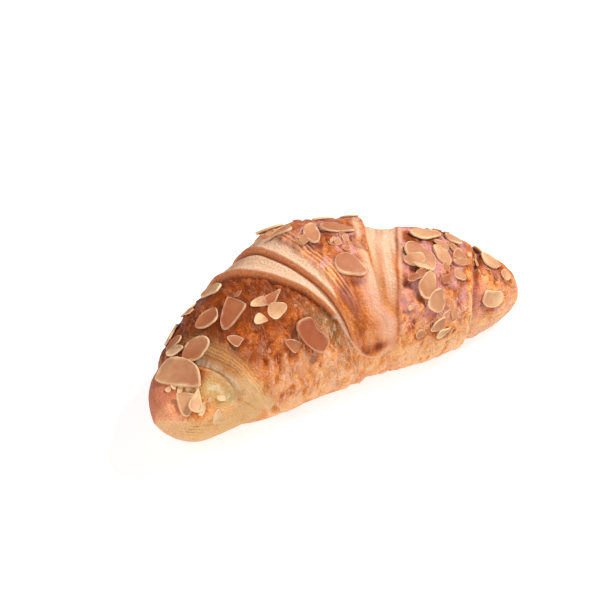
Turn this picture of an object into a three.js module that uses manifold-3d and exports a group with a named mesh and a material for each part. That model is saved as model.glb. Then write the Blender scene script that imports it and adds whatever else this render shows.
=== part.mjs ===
// Almond croissant: a rolled triangle of laminated dough, a little bent, with sliced almonds baked onto it.
// Millimetres. +X runs along the roll towards its slimmer end, -Y is the front, where the outer wrap's tip
// lies, and +Z is up. The roll rests on z = 0, and the middle of its outline is at x = y = 0.

import * as THREE from "three";
import { mergeVertices } from "three/addons/utils/BufferGeometryUtils.js";
import Module from "manifold-3d";

// The roll under its outer wrap
const LEFT_REACH = 86; // from the roll's middle to its left end along X
const RIGHT_REACH = 82; // the same to the right end
const WIDTH = 58; // across the roll
const HEIGHT = 56.8; // above the base
const WAIST = 0.42; // level of the widest line, as a share of the height
const BLUNT_END = 0.39; // fullness of the left end: 0.5 is a ball, less is blunter, 1 is a cone
const SLIM_END = 0.53; // the same for the right end
const LEFT_LIFT = 18; // how far the left end's point stands above the base line
const RIGHT_LIFT = 10; // the same for the right end
const LIFT_POWER = 8; // a high power keeps the lift close to the ends
const LEFT_BEND = 26; // how far the left end comes forward
const RIGHT_BEND = 5; // the same for the right end
const LEFT_FALL = 0.6; // share of its upper half that the roll loses towards the left end
const FALL_POWER = 2.2; // a high power keeps that close to the end
const RIGHT_SWELL = 0.4; // share that the upper half gains towards the right end, which is full
const SWELL_POWER = 5;
const BASE_PRESS = 1.6; // depth of the round underside that the tray presses flat
const ROUND_TOP = 2; // exponent of the section's upper half: 2 is an ellipse, more is squarer
const SQUARE_BASE = 2.6; // exponent of its lower half

// Edges of the wraps. Each winds round the roll: at an angle, in degrees from the front (0) over the top
// (90) to the back (180), its x is mid + reach * tanh((angle - turn) / ease).
const LEFT_CAP = { mid: -56.3, reach: -18, turn: 33, ease: 70 };
const LOW_TREAD = { mid: -24, reach: -24, turn: 60, ease: 60 };
const WRAP_LEFT = { mid: -13.5, reach: -9.5, turn: 57, ease: 40 };
const WRAP_RIGHT = { mid: 15, reach: 8, turn: 95, ease: 35 };
const BAND_RIGHT = { mid: 26, reach: 14, turn: 82, ease: 55 };
const RIGHT_CAP = { mid: 58, reach: 11, turn: 72, ease: 60 };
const MIDDLE_TREAD_SHARE = 0.63; // place of the middle tread's edge between the low tread and the wrap
const LEAST_TREAD = 1.5; // width that is left of the treads where they run together at the tip
const TIP_FLARE = 6; // how far the wrap's right edge swings out above the tip, where it closes the band
const FLARE_FROM = 16; // angles between which it does so
const FLARE_TO = 32;
const LEAST_BAND = 1; // width that is left of the band below its point

// Heights of the wraps over the roll
const LOW_STEP = 1.8;
const MIDDLE_STEP = 1.2;
const WRAP_STEP = 1.2;
const WRAP_CROWN = 1.1;
const WRAP_FALL = 1.6; // how much thinner the outer wrap is at its right edge than at its left
const LEFT_SHELL_CROWN = 1.3;
const LEFT_CAP_STEP = 2;
const CREASE_DEPTH = 0.8; // of the fold beside the left cap
const BAND_HOLLOW = 0.9;
const FULL_BAND = 9; // width from which the band has its full hollow
const BAND_LIP = 0.7;
const RIGHT_SHELL_CROWN = 1.1;
const RIGHT_CAP_STEP = 1.7;
const EDGE_SOFTNESS = 0.6; // a step at a wrap's edge runs over about four times this
const LIP_WIDTH = 1.5;
const CREASE_WIDTH = 2;

// The outer wrap's tip, on the front
const TIP_X = 4.5;
const TIP_HALF_WIDTH = 8.5;
const TIP_ANGLE = -8;
const TIP_ROUNDING = 10; // degrees that the tip's corners stand above its end
const TIP_MOST = 30; // angle by which the tip is full
const TIP_SOFTNESS = 1.2;
const TIP_HEIGHT = 0.5; // height of the outer wrap at its tip, as a share of its height on top
const FULL_WRAP_ANGLE = 62; // angle from which it has its full height
const ARC_PER_DEGREE = 0.5; // length of one degree on the roll's skin

// The relief fades on the underside, between these angles from the top
const FADE_FROM = 125;
const FADE_TO = 170;
const TOP_ANGLE = 90;
const END_FADE = 12; // radius below which the relief shrinks with the section

// Rings of the skin in each zone between the steps, from the left end to the right, and segments round it
const ZONE_RINGS = [9, 11, 2, 2, 11, 4, 12, 11];
const STEP_HALF_RUN = 0.8; // a step falls between two rings that are this far from its edge
const STEP_MOST_SHARE = 0.4; // or this share of a narrow zone
const END_CROWDING = 2; // power that draws the rings of the two caps towards their ends
const SEGMENTS = 44;

// Sliced almonds: the large ones on the front and top, each with its x, its angle, its length and width,
// and the turn of its length from the roll's own direction.
const PLACED_FLAKES = [
  { x: -2, angle: 57, length: 13.3, width: 9.2, turn: -38 },
  { x: -24, angle: 26, length: 16, width: 8.5, turn: -66 },
  { x: 1.5, angle: 90, length: 14.5, width: 8, turn: -3 },
  { x: -9.5, angle: 89, length: 12, width: 6.4, turn: 62 },
  { x: 39.5, angle: 88, length: 16, width: 7.5, turn: 10 },
  { x: 30.5, angle: 61, length: 14.7, width: 9, turn: -39 },
  { x: 27, angle: 58, length: 8.8, width: 5, turn: -3 },
  { x: 41.5, angle: 64, length: 10, width: 6.8, turn: -48 },
  { x: 29, angle: 38, length: 11, width: 9, turn: 61 },
  { x: 31.5, angle: 26, length: 9.5, width: 8.2, turn: 80 },
  { x: 31.5, angle: 6, length: 6.8, width: 5.5, turn: 14 },
  { x: 34, angle: -1, length: 6.5, width: 3.8, turn: 15 },
  { x: 46.5, angle: 45, length: 6, width: 4.6, turn: -40 },
  { x: 67.5, angle: 74, length: 10.5, width: 7.5, turn: -9 },
  { x: 62, angle: 19, length: 12.5, width: 6.8, turn: -9 },
  { x: -65, angle: 83, length: 12.4, width: 8.5, turn: -19 },
  { x: -72.5, angle: 83, length: 19, width: 11, turn: -74 },
  { x: -76.3, angle: 38, length: 8.6, width: 6.5, turn: 61 },
  { x: -72, angle: 35, length: 8.8, width: 5.5, turn: 46 },
  { x: -65.5, angle: 0, length: 6.6, width: 3.4, turn: 78 },
  { x: -34, angle: 53, length: 7.6, width: 6.4, turn: -15 },
  { x: -39.5, angle: 67, length: 6, width: 4.2, turn: -25 },
  { x: -33.5, angle: 63, length: 8.4, width: 4.6, turn: 7 },
  { x: -50, angle: 77, length: 12.7, width: 8.3, turn: 14 },
  { x: -56.5, angle: 93, length: 10.5, width: 8, turn: 3 },
];
// The rest lie on the crest and the back, spread by a rule.
const STREWN_TRIES = 90;
const STREWN_SEED = 20531;
const DRAW_FACTOR = 16807; // factor and modulus of a plain drawing of numbers
const DRAW_MODULUS = 2147483647;
const HALF_TURN = 180;
const STREWN_X = [-74, 72];
const STREWN_ANGLE = [74, 158];
const STREWN_LENGTH = [7.5, 14];
const STREWN_SLENDERNESS = [0.55, 0.78]; // width as a share of the length
const BARE_MARGIN = 3; // how far these keep from the treads and the pale band, which carry none
const FLAKE_SPACING = 0.56; // least distance of two flakes, as a share of their lengths together
const SPREAD_STEP_X = 0.7548776662; // steps of an even two-way spread
const SPREAD_STEP_ANGLE = 0.569840291;
const FLAKE_THICKNESS = 1.3;
const FLAKE_RISE = 0.2; // height of a flake's mid-plane over the skin
const FLAKE_TAPER = 0.24; // how much narrower a flake is at its pointed end
const FLAKE_SIDES = 8;
const FLAKE_REACH_X = 3; // half of the stretch of skin that a flake lies on
const FLAKE_REACH_ANGLE = 6;

const FULL_TURN = 360;
const WELD_DISTANCE = 1e-3; // closer corners of a mesh are one

const CRUST_COLOUR = 0xc9834f;
const CRUST_ROUGHNESS = 0.5;

// A rounded step from 0 to 1 across zero.
const step = (distance, softness) => 0.5 * (1 + Math.tanh(distance / softness));

// A dome of height 1 between two edges, and zero outside them.
function dome(x, from, to) {
  const t = THREE.MathUtils.clamp((x - from) / (to - from), 0, 1);
  return 4 * t * (1 - t);
}

// 1 on the front, top and back, falling to 0 under the roll.
const topside = (angle) => 1 - THREE.MathUtils.smoothstep(Math.abs(angle - TOP_ANGLE), FADE_FROM, FADE_TO);

const edgeAt = ({ mid, reach, turn, ease }, angle) =>
  mid + reach * Math.tanh((angle - turn) / ease) * topside(angle);

// The x of every edge at an angle, from left to right.
function edgesAt(angle) {
  const wrapLeft = edgeAt(WRAP_LEFT, angle);
  const bandRight = edgeAt(BAND_RIGHT, angle);
  const flare = TIP_FLARE * (1 - THREE.MathUtils.smoothstep(angle, FLARE_FROM, FLARE_TO)) * topside(angle);
  const low = Math.min(edgeAt(LOW_TREAD, angle), wrapLeft - LEAST_TREAD);
  return {
    leftCap: edgeAt(LEFT_CAP, angle),
    low,
    middle: THREE.MathUtils.lerp(low, wrapLeft, MIDDLE_TREAD_SHARE),
    wrapLeft,
    wrapRight: Math.min(edgeAt(WRAP_RIGHT, angle) + flare, bandRight - LEAST_BAND),
    bandRight,
    rightCap: edgeAt(RIGHT_CAP, angle),
  };
}

// Height of the wraps over the roll: the outer wrap climbs three treads from its left and drops at once to
// the pale band on its right, and both ends are lower caps.
function reliefAt(x, angle) {
  const edge = edgesAt(angle);
  const corner = ((x - TIP_X) / TIP_HALF_WIDTH) ** 2;
  const tipEnd = Math.min(TIP_ANGLE + TIP_ROUNDING * corner, TIP_MOST);
  const thinning = THREE.MathUtils.smoothstep(angle, TIP_ANGLE, FULL_WRAP_ANGLE);
  const onTip =
    step((angle - tipEnd) * ARC_PER_DEGREE, TIP_SOFTNESS) * THREE.MathUtils.lerp(TIP_HEIGHT, 1, thinning);
  const treads =
    LOW_STEP * step(x - edge.low, EDGE_SOFTNESS) +
    MIDDLE_STEP * step(x - edge.middle, EDGE_SOFTNESS) +
    WRAP_STEP * step(x - edge.wrapLeft, EDGE_SOFTNESS);
  const outerWrap =
    treads +
    WRAP_CROWN * dome(x, edge.wrapLeft, edge.wrapRight) -
    WRAP_FALL * THREE.MathUtils.smoothstep(x, edge.wrapLeft, edge.wrapRight);
  const leftShell =
    LEFT_SHELL_CROWN * dome(x, edge.leftCap, edge.low) -
    LEFT_CAP_STEP * step(edge.leftCap - x, EDGE_SOFTNESS) -
    CREASE_DEPTH * Math.exp(-(((x - edge.leftCap) / CREASE_WIDTH) ** 2));
  const hollow = BAND_HOLLOW * Math.min(1, (edge.bandRight - edge.wrapRight) / FULL_BAND);
  const band =
    BAND_LIP * Math.exp(-(((x - edge.bandRight) / LIP_WIDTH) ** 2)) -
    hollow * dome(x, edge.wrapRight, edge.bandRight);
  const rightShell =
    RIGHT_SHELL_CROWN * dome(x, edge.bandRight, edge.rightCap) -
    RIGHT_CAP_STEP * step(x - edge.rightCap, EDGE_SOFTNESS);
  const onWrap = onTip * step(edge.wrapRight - x, EDGE_SOFTNESS);
  return (onWrap * outerWrap + leftShell + band + rightShell) * topside(angle);
}

// Size of the section at x, as a share of its fullest.
function fullness(along) {
  const peak = (BLUNT_END - SLIM_END) / (BLUNT_END + SLIM_END);
  return ((1 + along) / (1 + peak)) ** BLUNT_END * ((1 - along) / (1 - peak)) ** SLIM_END;
}

// The skin's point at x and an angle.
function skinAt(x, angle) {
  const along = THREE.MathUtils.clamp(x < 0 ? x / LEFT_REACH : x / RIGHT_REACH, -1, 1);
  const share = fullness(along);
  const full = (HEIGHT + BASE_PRESS) * share;
  const turn = THREE.MathUtils.degToRad(angle);
  const [across, up] = [Math.cos(turn), Math.sin(turn)];
  const power = up > 0 ? ROUND_TOP : SQUARE_BASE;
  const reach = (Math.abs(across) ** power + Math.abs(up) ** power) ** (-1 / power);
  const side = (-WIDTH / 2) * share * reach * across;
  const upper =
    along < 0 ? 1 - LEFT_FALL * Math.abs(along) ** FALL_POWER : 1 + RIGHT_SWELL * along ** SWELL_POWER;
  const rise = full * (up > 0 ? (1 - WAIST) * upper : WAIST) * reach * up;
  const radius = Math.hypot(side, rise);
  const relief = radius > 0 ? (reliefAt(x, angle) * Math.min(1, radius / END_FADE)) / radius : 0;
  const lift = (along < 0 ? LEFT_LIFT : RIGHT_LIFT) * Math.abs(along) ** LIFT_POWER;
  const bend = (along < 0 ? LEFT_BEND : RIGHT_BEND) * along ** 2;
  const level = full * WAIST - BASE_PRESS + lift;
  return new THREE.Vector3(x, side * (1 + relief) - bend, Math.max(level + rise * (1 + relief), 0));
}

// The x of each ring at an angle. The rings follow the wraps' edges, with one on either side of every step,
// and crowd towards the two ends.
function ringsAt(angle) {
  const edges = [-LEFT_REACH, ...Object.values(edgesAt(angle)), RIGHT_REACH];
  const last = ZONE_RINGS.length - 1;
  return ZONE_RINGS.flatMap((count, zone) => {
    const [from, to] = [edges[zone], edges[zone + 1]];
    const inset = Math.min(STEP_HALF_RUN, STEP_MOST_SHARE * (to - from));
    const start = zone === 0 ? from : from + inset;
    const end = zone === last ? to : to - inset;
    return Array.from({ length: count + 1 }, (_, i) => {
      const share = i / count;
      if (zone === 0) return THREE.MathUtils.lerp(start, end, share ** END_CROWDING);
      if (zone === last) return THREE.MathUtils.lerp(end, start, (1 - share) ** END_CROWDING);
      return THREE.MathUtils.lerp(start, end, share);
    });
  });
}

// The roll: a sphere's grid, laid over the skin from the left end to the right one.
function rollGeometry() {
  const rows = ringsAt(TOP_ANGLE).length - 1;
  const geometry = new THREE.SphereGeometry(1, SEGMENTS, rows);
  const position = geometry.getAttribute("position");
  for (let column = 0; column <= SEGMENTS; column++) {
    const angle = ((column % SEGMENTS) * FULL_TURN) / SEGMENTS - TOP_ANGLE;
    ringsAt(angle).forEach((x, row) => {
      const point = skinAt(x, angle);
      position.setXYZ(row * (SEGMENTS + 1) + column, point.x, point.y, point.z);
    });
  }
  return geometry;
}

// A drawing of numbers from 0 to 1 that repeats alike.
function drawing(seed) {
  let state = seed;
  return () => {
    state = (state * DRAW_FACTOR) % DRAW_MODULUS;
    return state / DRAW_MODULUS;
  };
}

const fraction = (value) => value - Math.floor(value);

// Whether a spot is clear of the treads and the pale band.
function takesFlakes(x, angle) {
  const edge = edgesAt(angle);
  const onTreads = x > edge.low - BARE_MARGIN && x < edge.wrapLeft + BARE_MARGIN;
  const onBand = x > edge.wrapRight - BARE_MARGIN && x < edge.bandRight + BARE_MARGIN;
  return !onTreads && !onBand;
}

// The placed flakes, then those of the even spread that find room between them.
function allFlakes() {
  const flakes = PLACED_FLAKES.map((flake) => ({ ...flake, point: skinAt(flake.x, flake.angle) }));
  const draw = drawing(STREWN_SEED);
  for (let i = 1; i <= STREWN_TRIES; i++) {
    const x = THREE.MathUtils.lerp(...STREWN_X, fraction(i * SPREAD_STEP_X));
    const angle = THREE.MathUtils.lerp(...STREWN_ANGLE, fraction(i * SPREAD_STEP_ANGLE));
    const length = THREE.MathUtils.lerp(...STREWN_LENGTH, draw() ** 2);
    const width = length * THREE.MathUtils.lerp(...STREWN_SLENDERNESS, draw());
    const turn = HALF_TURN * draw();
    const point = skinAt(x, angle);
    const isClear = (other) => point.distanceTo(other.point) > FLAKE_SPACING * (length + other.length);
    const hasRoom = flakes.every(isClear) && takesFlakes(x, angle);
    if (hasRoom) flakes.push({ x, angle, length, width, turn, point });
  }
  return flakes;
}

// One flake: a thin oval slice with a pointed end, lying on the skin.
function flakeGeometry({ x, angle, length, width, turn, point }) {
  const geometry = new THREE.CylinderGeometry(1, 1, FLAKE_THICKNESS, FLAKE_SIDES);
  const position = geometry.getAttribute("position");
  for (let i = 0; i < position.count; i++) {
    const along = position.getX(i);
    position.setX(i, (along * length) / 2);
    position.setZ(i, ((position.getZ(i) * width) / 2) * (1 - FLAKE_TAPER * along));
  }
  const forward = skinAt(x + FLAKE_REACH_X, angle).sub(skinAt(x - FLAKE_REACH_X, angle)).normalize();
  const around = skinAt(x, angle + FLAKE_REACH_ANGLE).sub(skinAt(x, angle - FLAKE_REACH_ANGLE));
  const normal = new THREE.Vector3().crossVectors(forward, around).normalize();
  const along = forward.clone().applyAxisAngle(normal, THREE.MathUtils.degToRad(turn));
  const across = new THREE.Vector3().crossVectors(along, normal);
  const place = new THREE.Matrix4().makeBasis(along, normal, across);
  place.setPosition(point.clone().addScaledVector(normal, FLAKE_RISE));
  return geometry.applyMatrix4(place);
}

const wasm = await Module();
wasm.setup();

function solidOf(geometry) {
  geometry.deleteAttribute("normal");
  geometry.deleteAttribute("uv");
  const merged = mergeVertices(geometry, WELD_DISTANCE);
  const vertProperties = merged.getAttribute("position").array;
  const triVerts = new Uint32Array(merged.index.array);
  return new wasm.Manifold(new wasm.Mesh({ numProp: 3, vertProperties, triVerts }));
}

// The roll with its almonds baked on: one body, without the scraps and hollows that joining may leave.
function croissantGeometry() {
  const flakes = allFlakes().map((flake) => solidOf(flakeGeometry(flake)));
  const joined = flakes.reduce((solid, flake) => solid.add(flake), solidOf(rollGeometry()));
  const [whole] = joined.decompose().sort((a, b) => b.volume() - a.volume());
  const mesh = whole.getMesh();
  const geometry = new THREE.BufferGeometry();
  geometry.setAttribute("position", new THREE.BufferAttribute(mesh.vertProperties, 3));
  geometry.setIndex(new THREE.BufferAttribute(mesh.triVerts, 1));
  geometry.computeBoundingBox();
  const middle = geometry.boundingBox.getCenter(new THREE.Vector3());
  geometry.translate(-middle.x, -middle.y, 0);
  geometry.computeVertexNormals();
  return geometry;
}

const crust = new THREE.MeshStandardMaterial({
  color: CRUST_COLOUR,
  roughness: CRUST_ROUGHNESS,
  metalness: 0,
});
const croissant = new THREE.Mesh(croissantGeometry(), crust);
croissant.name = "croissant";

const part = new THREE.Group();
part.add(croissant);

export default part;
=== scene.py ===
# %% [markdown]
# # An almond croissant
#
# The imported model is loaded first, as a fixed frame in metres. It is one solid, `croissant`, and lies on
# the ground plane. Every piece made below lies where that solid lies, and stands for it with a finer
# skin.

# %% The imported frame
import math
from collections import namedtuple

import bpy
import numpy as np
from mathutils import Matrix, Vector


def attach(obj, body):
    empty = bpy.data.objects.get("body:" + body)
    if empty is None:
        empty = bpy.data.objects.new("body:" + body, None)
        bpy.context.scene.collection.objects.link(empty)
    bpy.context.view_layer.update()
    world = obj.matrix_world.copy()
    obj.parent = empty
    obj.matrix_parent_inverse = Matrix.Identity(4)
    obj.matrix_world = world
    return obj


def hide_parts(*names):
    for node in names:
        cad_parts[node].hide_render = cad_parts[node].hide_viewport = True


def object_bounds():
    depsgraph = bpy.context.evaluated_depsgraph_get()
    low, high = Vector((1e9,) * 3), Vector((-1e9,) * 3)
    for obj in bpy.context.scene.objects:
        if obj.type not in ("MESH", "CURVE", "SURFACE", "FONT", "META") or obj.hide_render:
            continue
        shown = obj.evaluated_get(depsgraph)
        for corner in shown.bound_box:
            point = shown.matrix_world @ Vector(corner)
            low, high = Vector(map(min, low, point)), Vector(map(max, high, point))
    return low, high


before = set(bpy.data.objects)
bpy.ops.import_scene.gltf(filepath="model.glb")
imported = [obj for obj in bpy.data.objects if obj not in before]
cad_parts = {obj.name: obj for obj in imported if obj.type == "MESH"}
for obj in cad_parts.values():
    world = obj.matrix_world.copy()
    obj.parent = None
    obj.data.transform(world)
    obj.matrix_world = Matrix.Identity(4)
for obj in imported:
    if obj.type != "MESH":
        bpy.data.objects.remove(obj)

MM = 0.001
cad_low, cad_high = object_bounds()
print("CAD box in mm:", [round(v / MM, 1) for v in cad_high - cad_low])

# %% [markdown]
# ## The roll in numbers
#
# A croissant is a long triangle of dough rolled up from its base, so its skin is a spindle with stepped
# wraps. It could be sculpted by hand, but almonds and colours need to know where each wrap ends, so it
# is kept as numbers. The sizes below are the solid's own, in millimetres. An angle runs round the roll,
# in degrees, from the front (0) over the top (90) to the back (180). Each wrap's edge winds round the
# roll on a smooth curve of that angle.

# %% Sizes of the roll
LEFT_REACH, RIGHT_REACH = 86, 82
WIDTH = 58
HEIGHT = 56.8
WAIST = 0.42
BLUNT_END, SLIM_END = 0.39, 0.53
LEFT_LIFT, RIGHT_LIFT, LIFT_POWER = 18, 10, 8
LEFT_BEND, RIGHT_BEND = 26, 5
LEFT_FALL, FALL_POWER = 0.6, 2.2
RIGHT_SWELL, SWELL_POWER = 0.4, 5
BASE_PRESS = 1.6
ROUND_TOP, SQUARE_BASE = 2.0, 2.6
TOP_ANGLE = 90
FADE_FROM, FADE_TO = 125, 170
END_FADE = 12

EDGES = {
    "left_cap": dict(mid=-56.3, reach=-18, turn=33, ease=70),
    "low": dict(mid=-24, reach=-24, turn=60, ease=60),
    "wrap_left": dict(mid=-13.5, reach=-9.5, turn=57, ease=40),
    "wrap_right": dict(mid=15, reach=8, turn=95, ease=35),
    "band_right": dict(mid=26, reach=14, turn=82, ease=55),
    "right_cap": dict(mid=58, reach=11, turn=72, ease=60),
}
MIDDLE_TREAD_SHARE = 0.63
LEAST_TREAD, LEAST_BAND = 1.5, 1.0
TIP_FLARE, FLARE_FROM, FLARE_TO = 6, 16, 32


def smooth_step(value, start, end):
    share = np.clip((value - start) / (end - start), 0, 1)
    return share * share * (3 - 2 * share)


def topside(angle):
    """1 on the front, top and back, falling to 0 under the roll."""
    return 1 - smooth_step(np.abs(angle - TOP_ANGLE), FADE_FROM, FADE_TO)


def edge_at(name, angle):
    edge = EDGES[name]
    return edge["mid"] + edge["reach"] * np.tanh((angle - edge["turn"]) / edge["ease"]) * topside(angle)


def edges_at(angle):
    """The x of every edge at an angle, in order from left to right."""
    wrap_left = edge_at("wrap_left", angle)
    low = np.minimum(edge_at("low", angle), wrap_left - LEAST_TREAD)
    band_right = edge_at("band_right", angle)
    flare = TIP_FLARE * (1 - smooth_step(angle, FLARE_FROM, FLARE_TO)) * topside(angle)
    return {
        "left_cap": edge_at("left_cap", angle),
        "low": low,
        "middle": low + MIDDLE_TREAD_SHARE * (wrap_left - low),
        "wrap_left": wrap_left,
        "wrap_right": np.minimum(edge_at("wrap_right", angle) + flare, band_right - LEAST_BAND),
        "band_right": band_right,
        "right_cap": edge_at("right_cap", angle),
    }


print("edges on top, in mm:", {name: round(float(x), 1) for name, x in edges_at(np.array(90.0)).items()})

# %% [markdown]
# ## How high the wraps stand
#
# The outer wrap climbs three steps from its left, where the layers show on the treads, and drops at once
# to a pale band on its right. It thins towards its tip on the front. The two lower steps have a lip
# above and a crease at the foot: these are what catch the light and the shade, so they are shaped and
# not painted.

# %% Heights of the wraps
LOW_STEP, MIDDLE_STEP, WRAP_STEP, WRAP_CROWN, WRAP_FALL = 1.8, 1.2, 1.2, 1.1, 1.6
LEFT_SHELL_CROWN, LEFT_CAP_STEP = 1.3, 2.0
CREASE_DEPTH, CREASE_WIDTH = 0.5, 2.0
BAND_HOLLOW, FULL_BAND, BAND_LIP, LIP_WIDTH = 0.9, 9, 0.4, 1.5
RIGHT_SHELL_CROWN, RIGHT_CAP_STEP = 1.1, 1.7
EDGE_SOFTNESS = 0.45
TIP_X, TIP_HALF_WIDTH, TIP_ANGLE, TIP_ROUNDING, TIP_MOST = 4.5, 8.5, -8, 10, 30
TIP_SOFTNESS, TIP_HEIGHT, FULL_WRAP_ANGLE = 0.9, 0.5, 62
ARC_PER_DEGREE = 0.5
LEAST_RADIUS = 1e-6
TREAD_LIP, TREAD_LIP_WIDTH = 0.55, 0.9
TREAD_CREASE, TREAD_CREASE_WIDTH = 0.6, 0.7
WRAP_STEP_SOFTNESS = 1.3
WRAP_ROLL, WRAP_ROLL_WIDTH = 0.6, 1.6
CAP_CREASE, CAP_CREASE_AT, CAP_CREASE_WIDTH = 1.2, 2.0, 1.5
CAP_RIDGE, CAP_RIDGE_AT, CAP_RIDGE_WIDTH = 0.6, -1.8, 2.2


def step(distance, softness=EDGE_SOFTNESS):
    """A rounded step from 0 to 1 across zero."""
    return 0.5 * (1 + np.tanh(distance / softness))


def dome(x, start, end):
    share = np.clip((x - start) / (end - start), 0, 1)
    return 4 * share * (1 - share)


def bump_at(distance, width):
    return np.exp(-((distance / width) ** 2))


def on_tip(x, angle):
    """1 on the outer wrap, falling to 0 round the end of its tip."""
    corner = ((x - TIP_X) / TIP_HALF_WIDTH) ** 2
    tip_end = np.minimum(TIP_ANGLE + TIP_ROUNDING * corner, TIP_MOST)
    return step((angle - tip_end) * ARC_PER_DEGREE, TIP_SOFTNESS)


def tread(x, edge, height):
    """A step up at an edge, with a lip on it and a crease at its foot."""
    lip = TREAD_LIP * bump_at(x - edge - TREAD_LIP_WIDTH, TREAD_LIP_WIDTH)
    crease = TREAD_CREASE * bump_at(x - edge + TREAD_CREASE_WIDTH, TREAD_CREASE_WIDTH)
    return height * step(x - edge) + lip - crease


def wrap_relief(x, angle):
    edge = edges_at(angle)
    thinning = smooth_step(angle, TIP_ANGLE, FULL_WRAP_ANGLE)
    wrap_height = on_tip(x, angle) * (TIP_HEIGHT + (1 - TIP_HEIGHT) * thinning)
    treads = tread(x, edge["low"], LOW_STEP) + tread(x, edge["middle"], MIDDLE_STEP)
    treads = treads + WRAP_STEP * step(x - edge["wrap_left"], WRAP_STEP_SOFTNESS)
    outer_wrap = treads + WRAP_CROWN * dome(x, edge["wrap_left"], edge["wrap_right"])
    outer_wrap = outer_wrap - WRAP_FALL * smooth_step(x, edge["wrap_left"], edge["wrap_right"])
    outer_wrap = outer_wrap + WRAP_ROLL * bump_at(x - edge["wrap_right"] + WRAP_ROLL_WIDTH, WRAP_ROLL_WIDTH)
    left_shell = (
        LEFT_SHELL_CROWN * dome(x, edge["left_cap"], edge["low"])
        - LEFT_CAP_STEP * step(edge["left_cap"] - x)
        - CREASE_DEPTH * bump_at(x - edge["left_cap"], CREASE_WIDTH)
    )
    band = BAND_LIP * bump_at(x - edge["band_right"], LIP_WIDTH)
    hollow = BAND_HOLLOW * np.minimum(1, (edge["band_right"] - edge["wrap_right"]) / FULL_BAND)
    band = band - hollow * dome(x, edge["wrap_right"], edge["band_right"])
    right_shell = (
        RIGHT_SHELL_CROWN * dome(x, edge["band_right"], edge["right_cap"])
        - RIGHT_CAP_STEP * step(x - edge["right_cap"])
        - CAP_CREASE * bump_at(x - edge["right_cap"] - CAP_CREASE_AT, CAP_CREASE_WIDTH)
        + CAP_RIDGE * bump_at(x - edge["right_cap"] - CAP_RIDGE_AT, CAP_RIDGE_WIDTH)
    )
    height = wrap_height * step(edge["wrap_right"] - x) * outer_wrap + left_shell + band + right_shell
    return height * topside(angle)


def skin_at(x, angle, extra=0.0):
    """Points of the skin, in mm, at x and angle, raised by the wraps and by the extra relief."""
    along = np.clip(np.where(x < 0, x / LEFT_REACH, x / RIGHT_REACH), -1, 1)
    peak = (BLUNT_END - SLIM_END) / (BLUNT_END + SLIM_END)
    share = ((1 + along) / (1 + peak)) ** BLUNT_END * ((1 - along) / (1 - peak)) ** SLIM_END
    full = (HEIGHT + BASE_PRESS) * share
    turn = np.radians(angle)
    across, up = np.cos(turn), np.sin(turn)
    power = np.where(up > 0, ROUND_TOP, SQUARE_BASE)
    reach = (np.abs(across) ** power + np.abs(up) ** power) ** (-1 / power)
    side = -WIDTH / 2 * share * reach * across
    fall = 1 - LEFT_FALL * np.abs(along) ** FALL_POWER
    swell = 1 + RIGHT_SWELL * np.abs(along) ** SWELL_POWER
    rise = full * np.where(up > 0, (1 - WAIST) * np.where(along < 0, fall, swell), WAIST) * reach * up
    radius = np.maximum(np.hypot(side, rise), LEAST_RADIUS)
    relief = (wrap_relief(x, angle) + extra) * np.minimum(1, radius / END_FADE) / radius
    lift = np.where(along < 0, LEFT_LIFT, RIGHT_LIFT) * np.abs(along) ** LIFT_POWER
    bend = np.where(along < 0, LEFT_BEND, RIGHT_BEND) * along**2
    level = full * WAIST - BASE_PRESS + lift
    height = np.maximum(level + rise * (1 + relief), 0)
    return np.stack([x + 0 * side, side * (1 + relief) - bend, height], axis=-1)


print("top of the smooth roll in mm:", skin_at(np.array([0.0]), np.array([TOP_ANGLE]))[0].round(1))

# %% [markdown]
# ## A noise to draw with
#
# Baked dough is uneven at every scale. Blender's own noise can be called point by point, which is slow
# for so many points. This gradient noise works on whole arrays at once, and the same draw can both shape
# the skin and colour it. Its table comes from a seeded generator, so every run gives the same croissant.

# %% Noise on arrays
NOISE_SEED = 41
LATTICE = 256
NOISE_GAIN, OCTAVE_SHIFT = 1.6, 17.3
noise_table = np.random.default_rng(NOISE_SEED)
shuffled = np.tile(noise_table.permutation(LATTICE), 2)
slopes = noise_table.normal(size=(LATTICE, 3))
slopes = slopes / np.linalg.norm(slopes, axis=1, keepdims=True)


def noise(points):
    """Gradient noise, about -1 to 1, at points whose cells are one unit wide."""
    cell = np.floor(points).astype(int)
    part = points - cell
    ease = part**3 * (part * (part * 6 - 15) + 10)
    total = np.zeros(points.shape[:-1])
    for corner in np.ndindex(2, 2, 2):
        place = (cell + corner) % LATTICE
        index = shuffled[place[..., 0]]
        for axis in (1, 2):
            index = shuffled[index + place[..., axis]]
        dot = np.sum(slopes[index] * (part - corner), axis=-1)
        weight = np.prod(np.where(np.array(corner) == 1, ease, 1 - ease), axis=-1)
        total += dot * weight
    return NOISE_GAIN * total


def layered_noise(points, octaves):
    """Noise with finer and weaker noise laid over it, octave by octave."""
    total = np.zeros(points.shape[:-1])
    for octave in range(octaves):
        total += noise(points * 2**octave + OCTAVE_SHIFT * octave) / 2**octave
    return total


print("noise sample:", noise(np.array([[0.3, 1.7, 2.2]])).round(3))

# %% [markdown]
# ## The skin's mesh
#
# A UV sphere already has what a roll needs: rings along it and two closed ends. It is added at unit
# size, and its rings are then laid along the roll. They follow the wraps' edges, with several rings
# across every step, because a step that crosses the mesh at a slant would come out jagged. Round the
# roll the vertices stand wider apart underneath, where nobody looks.

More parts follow.
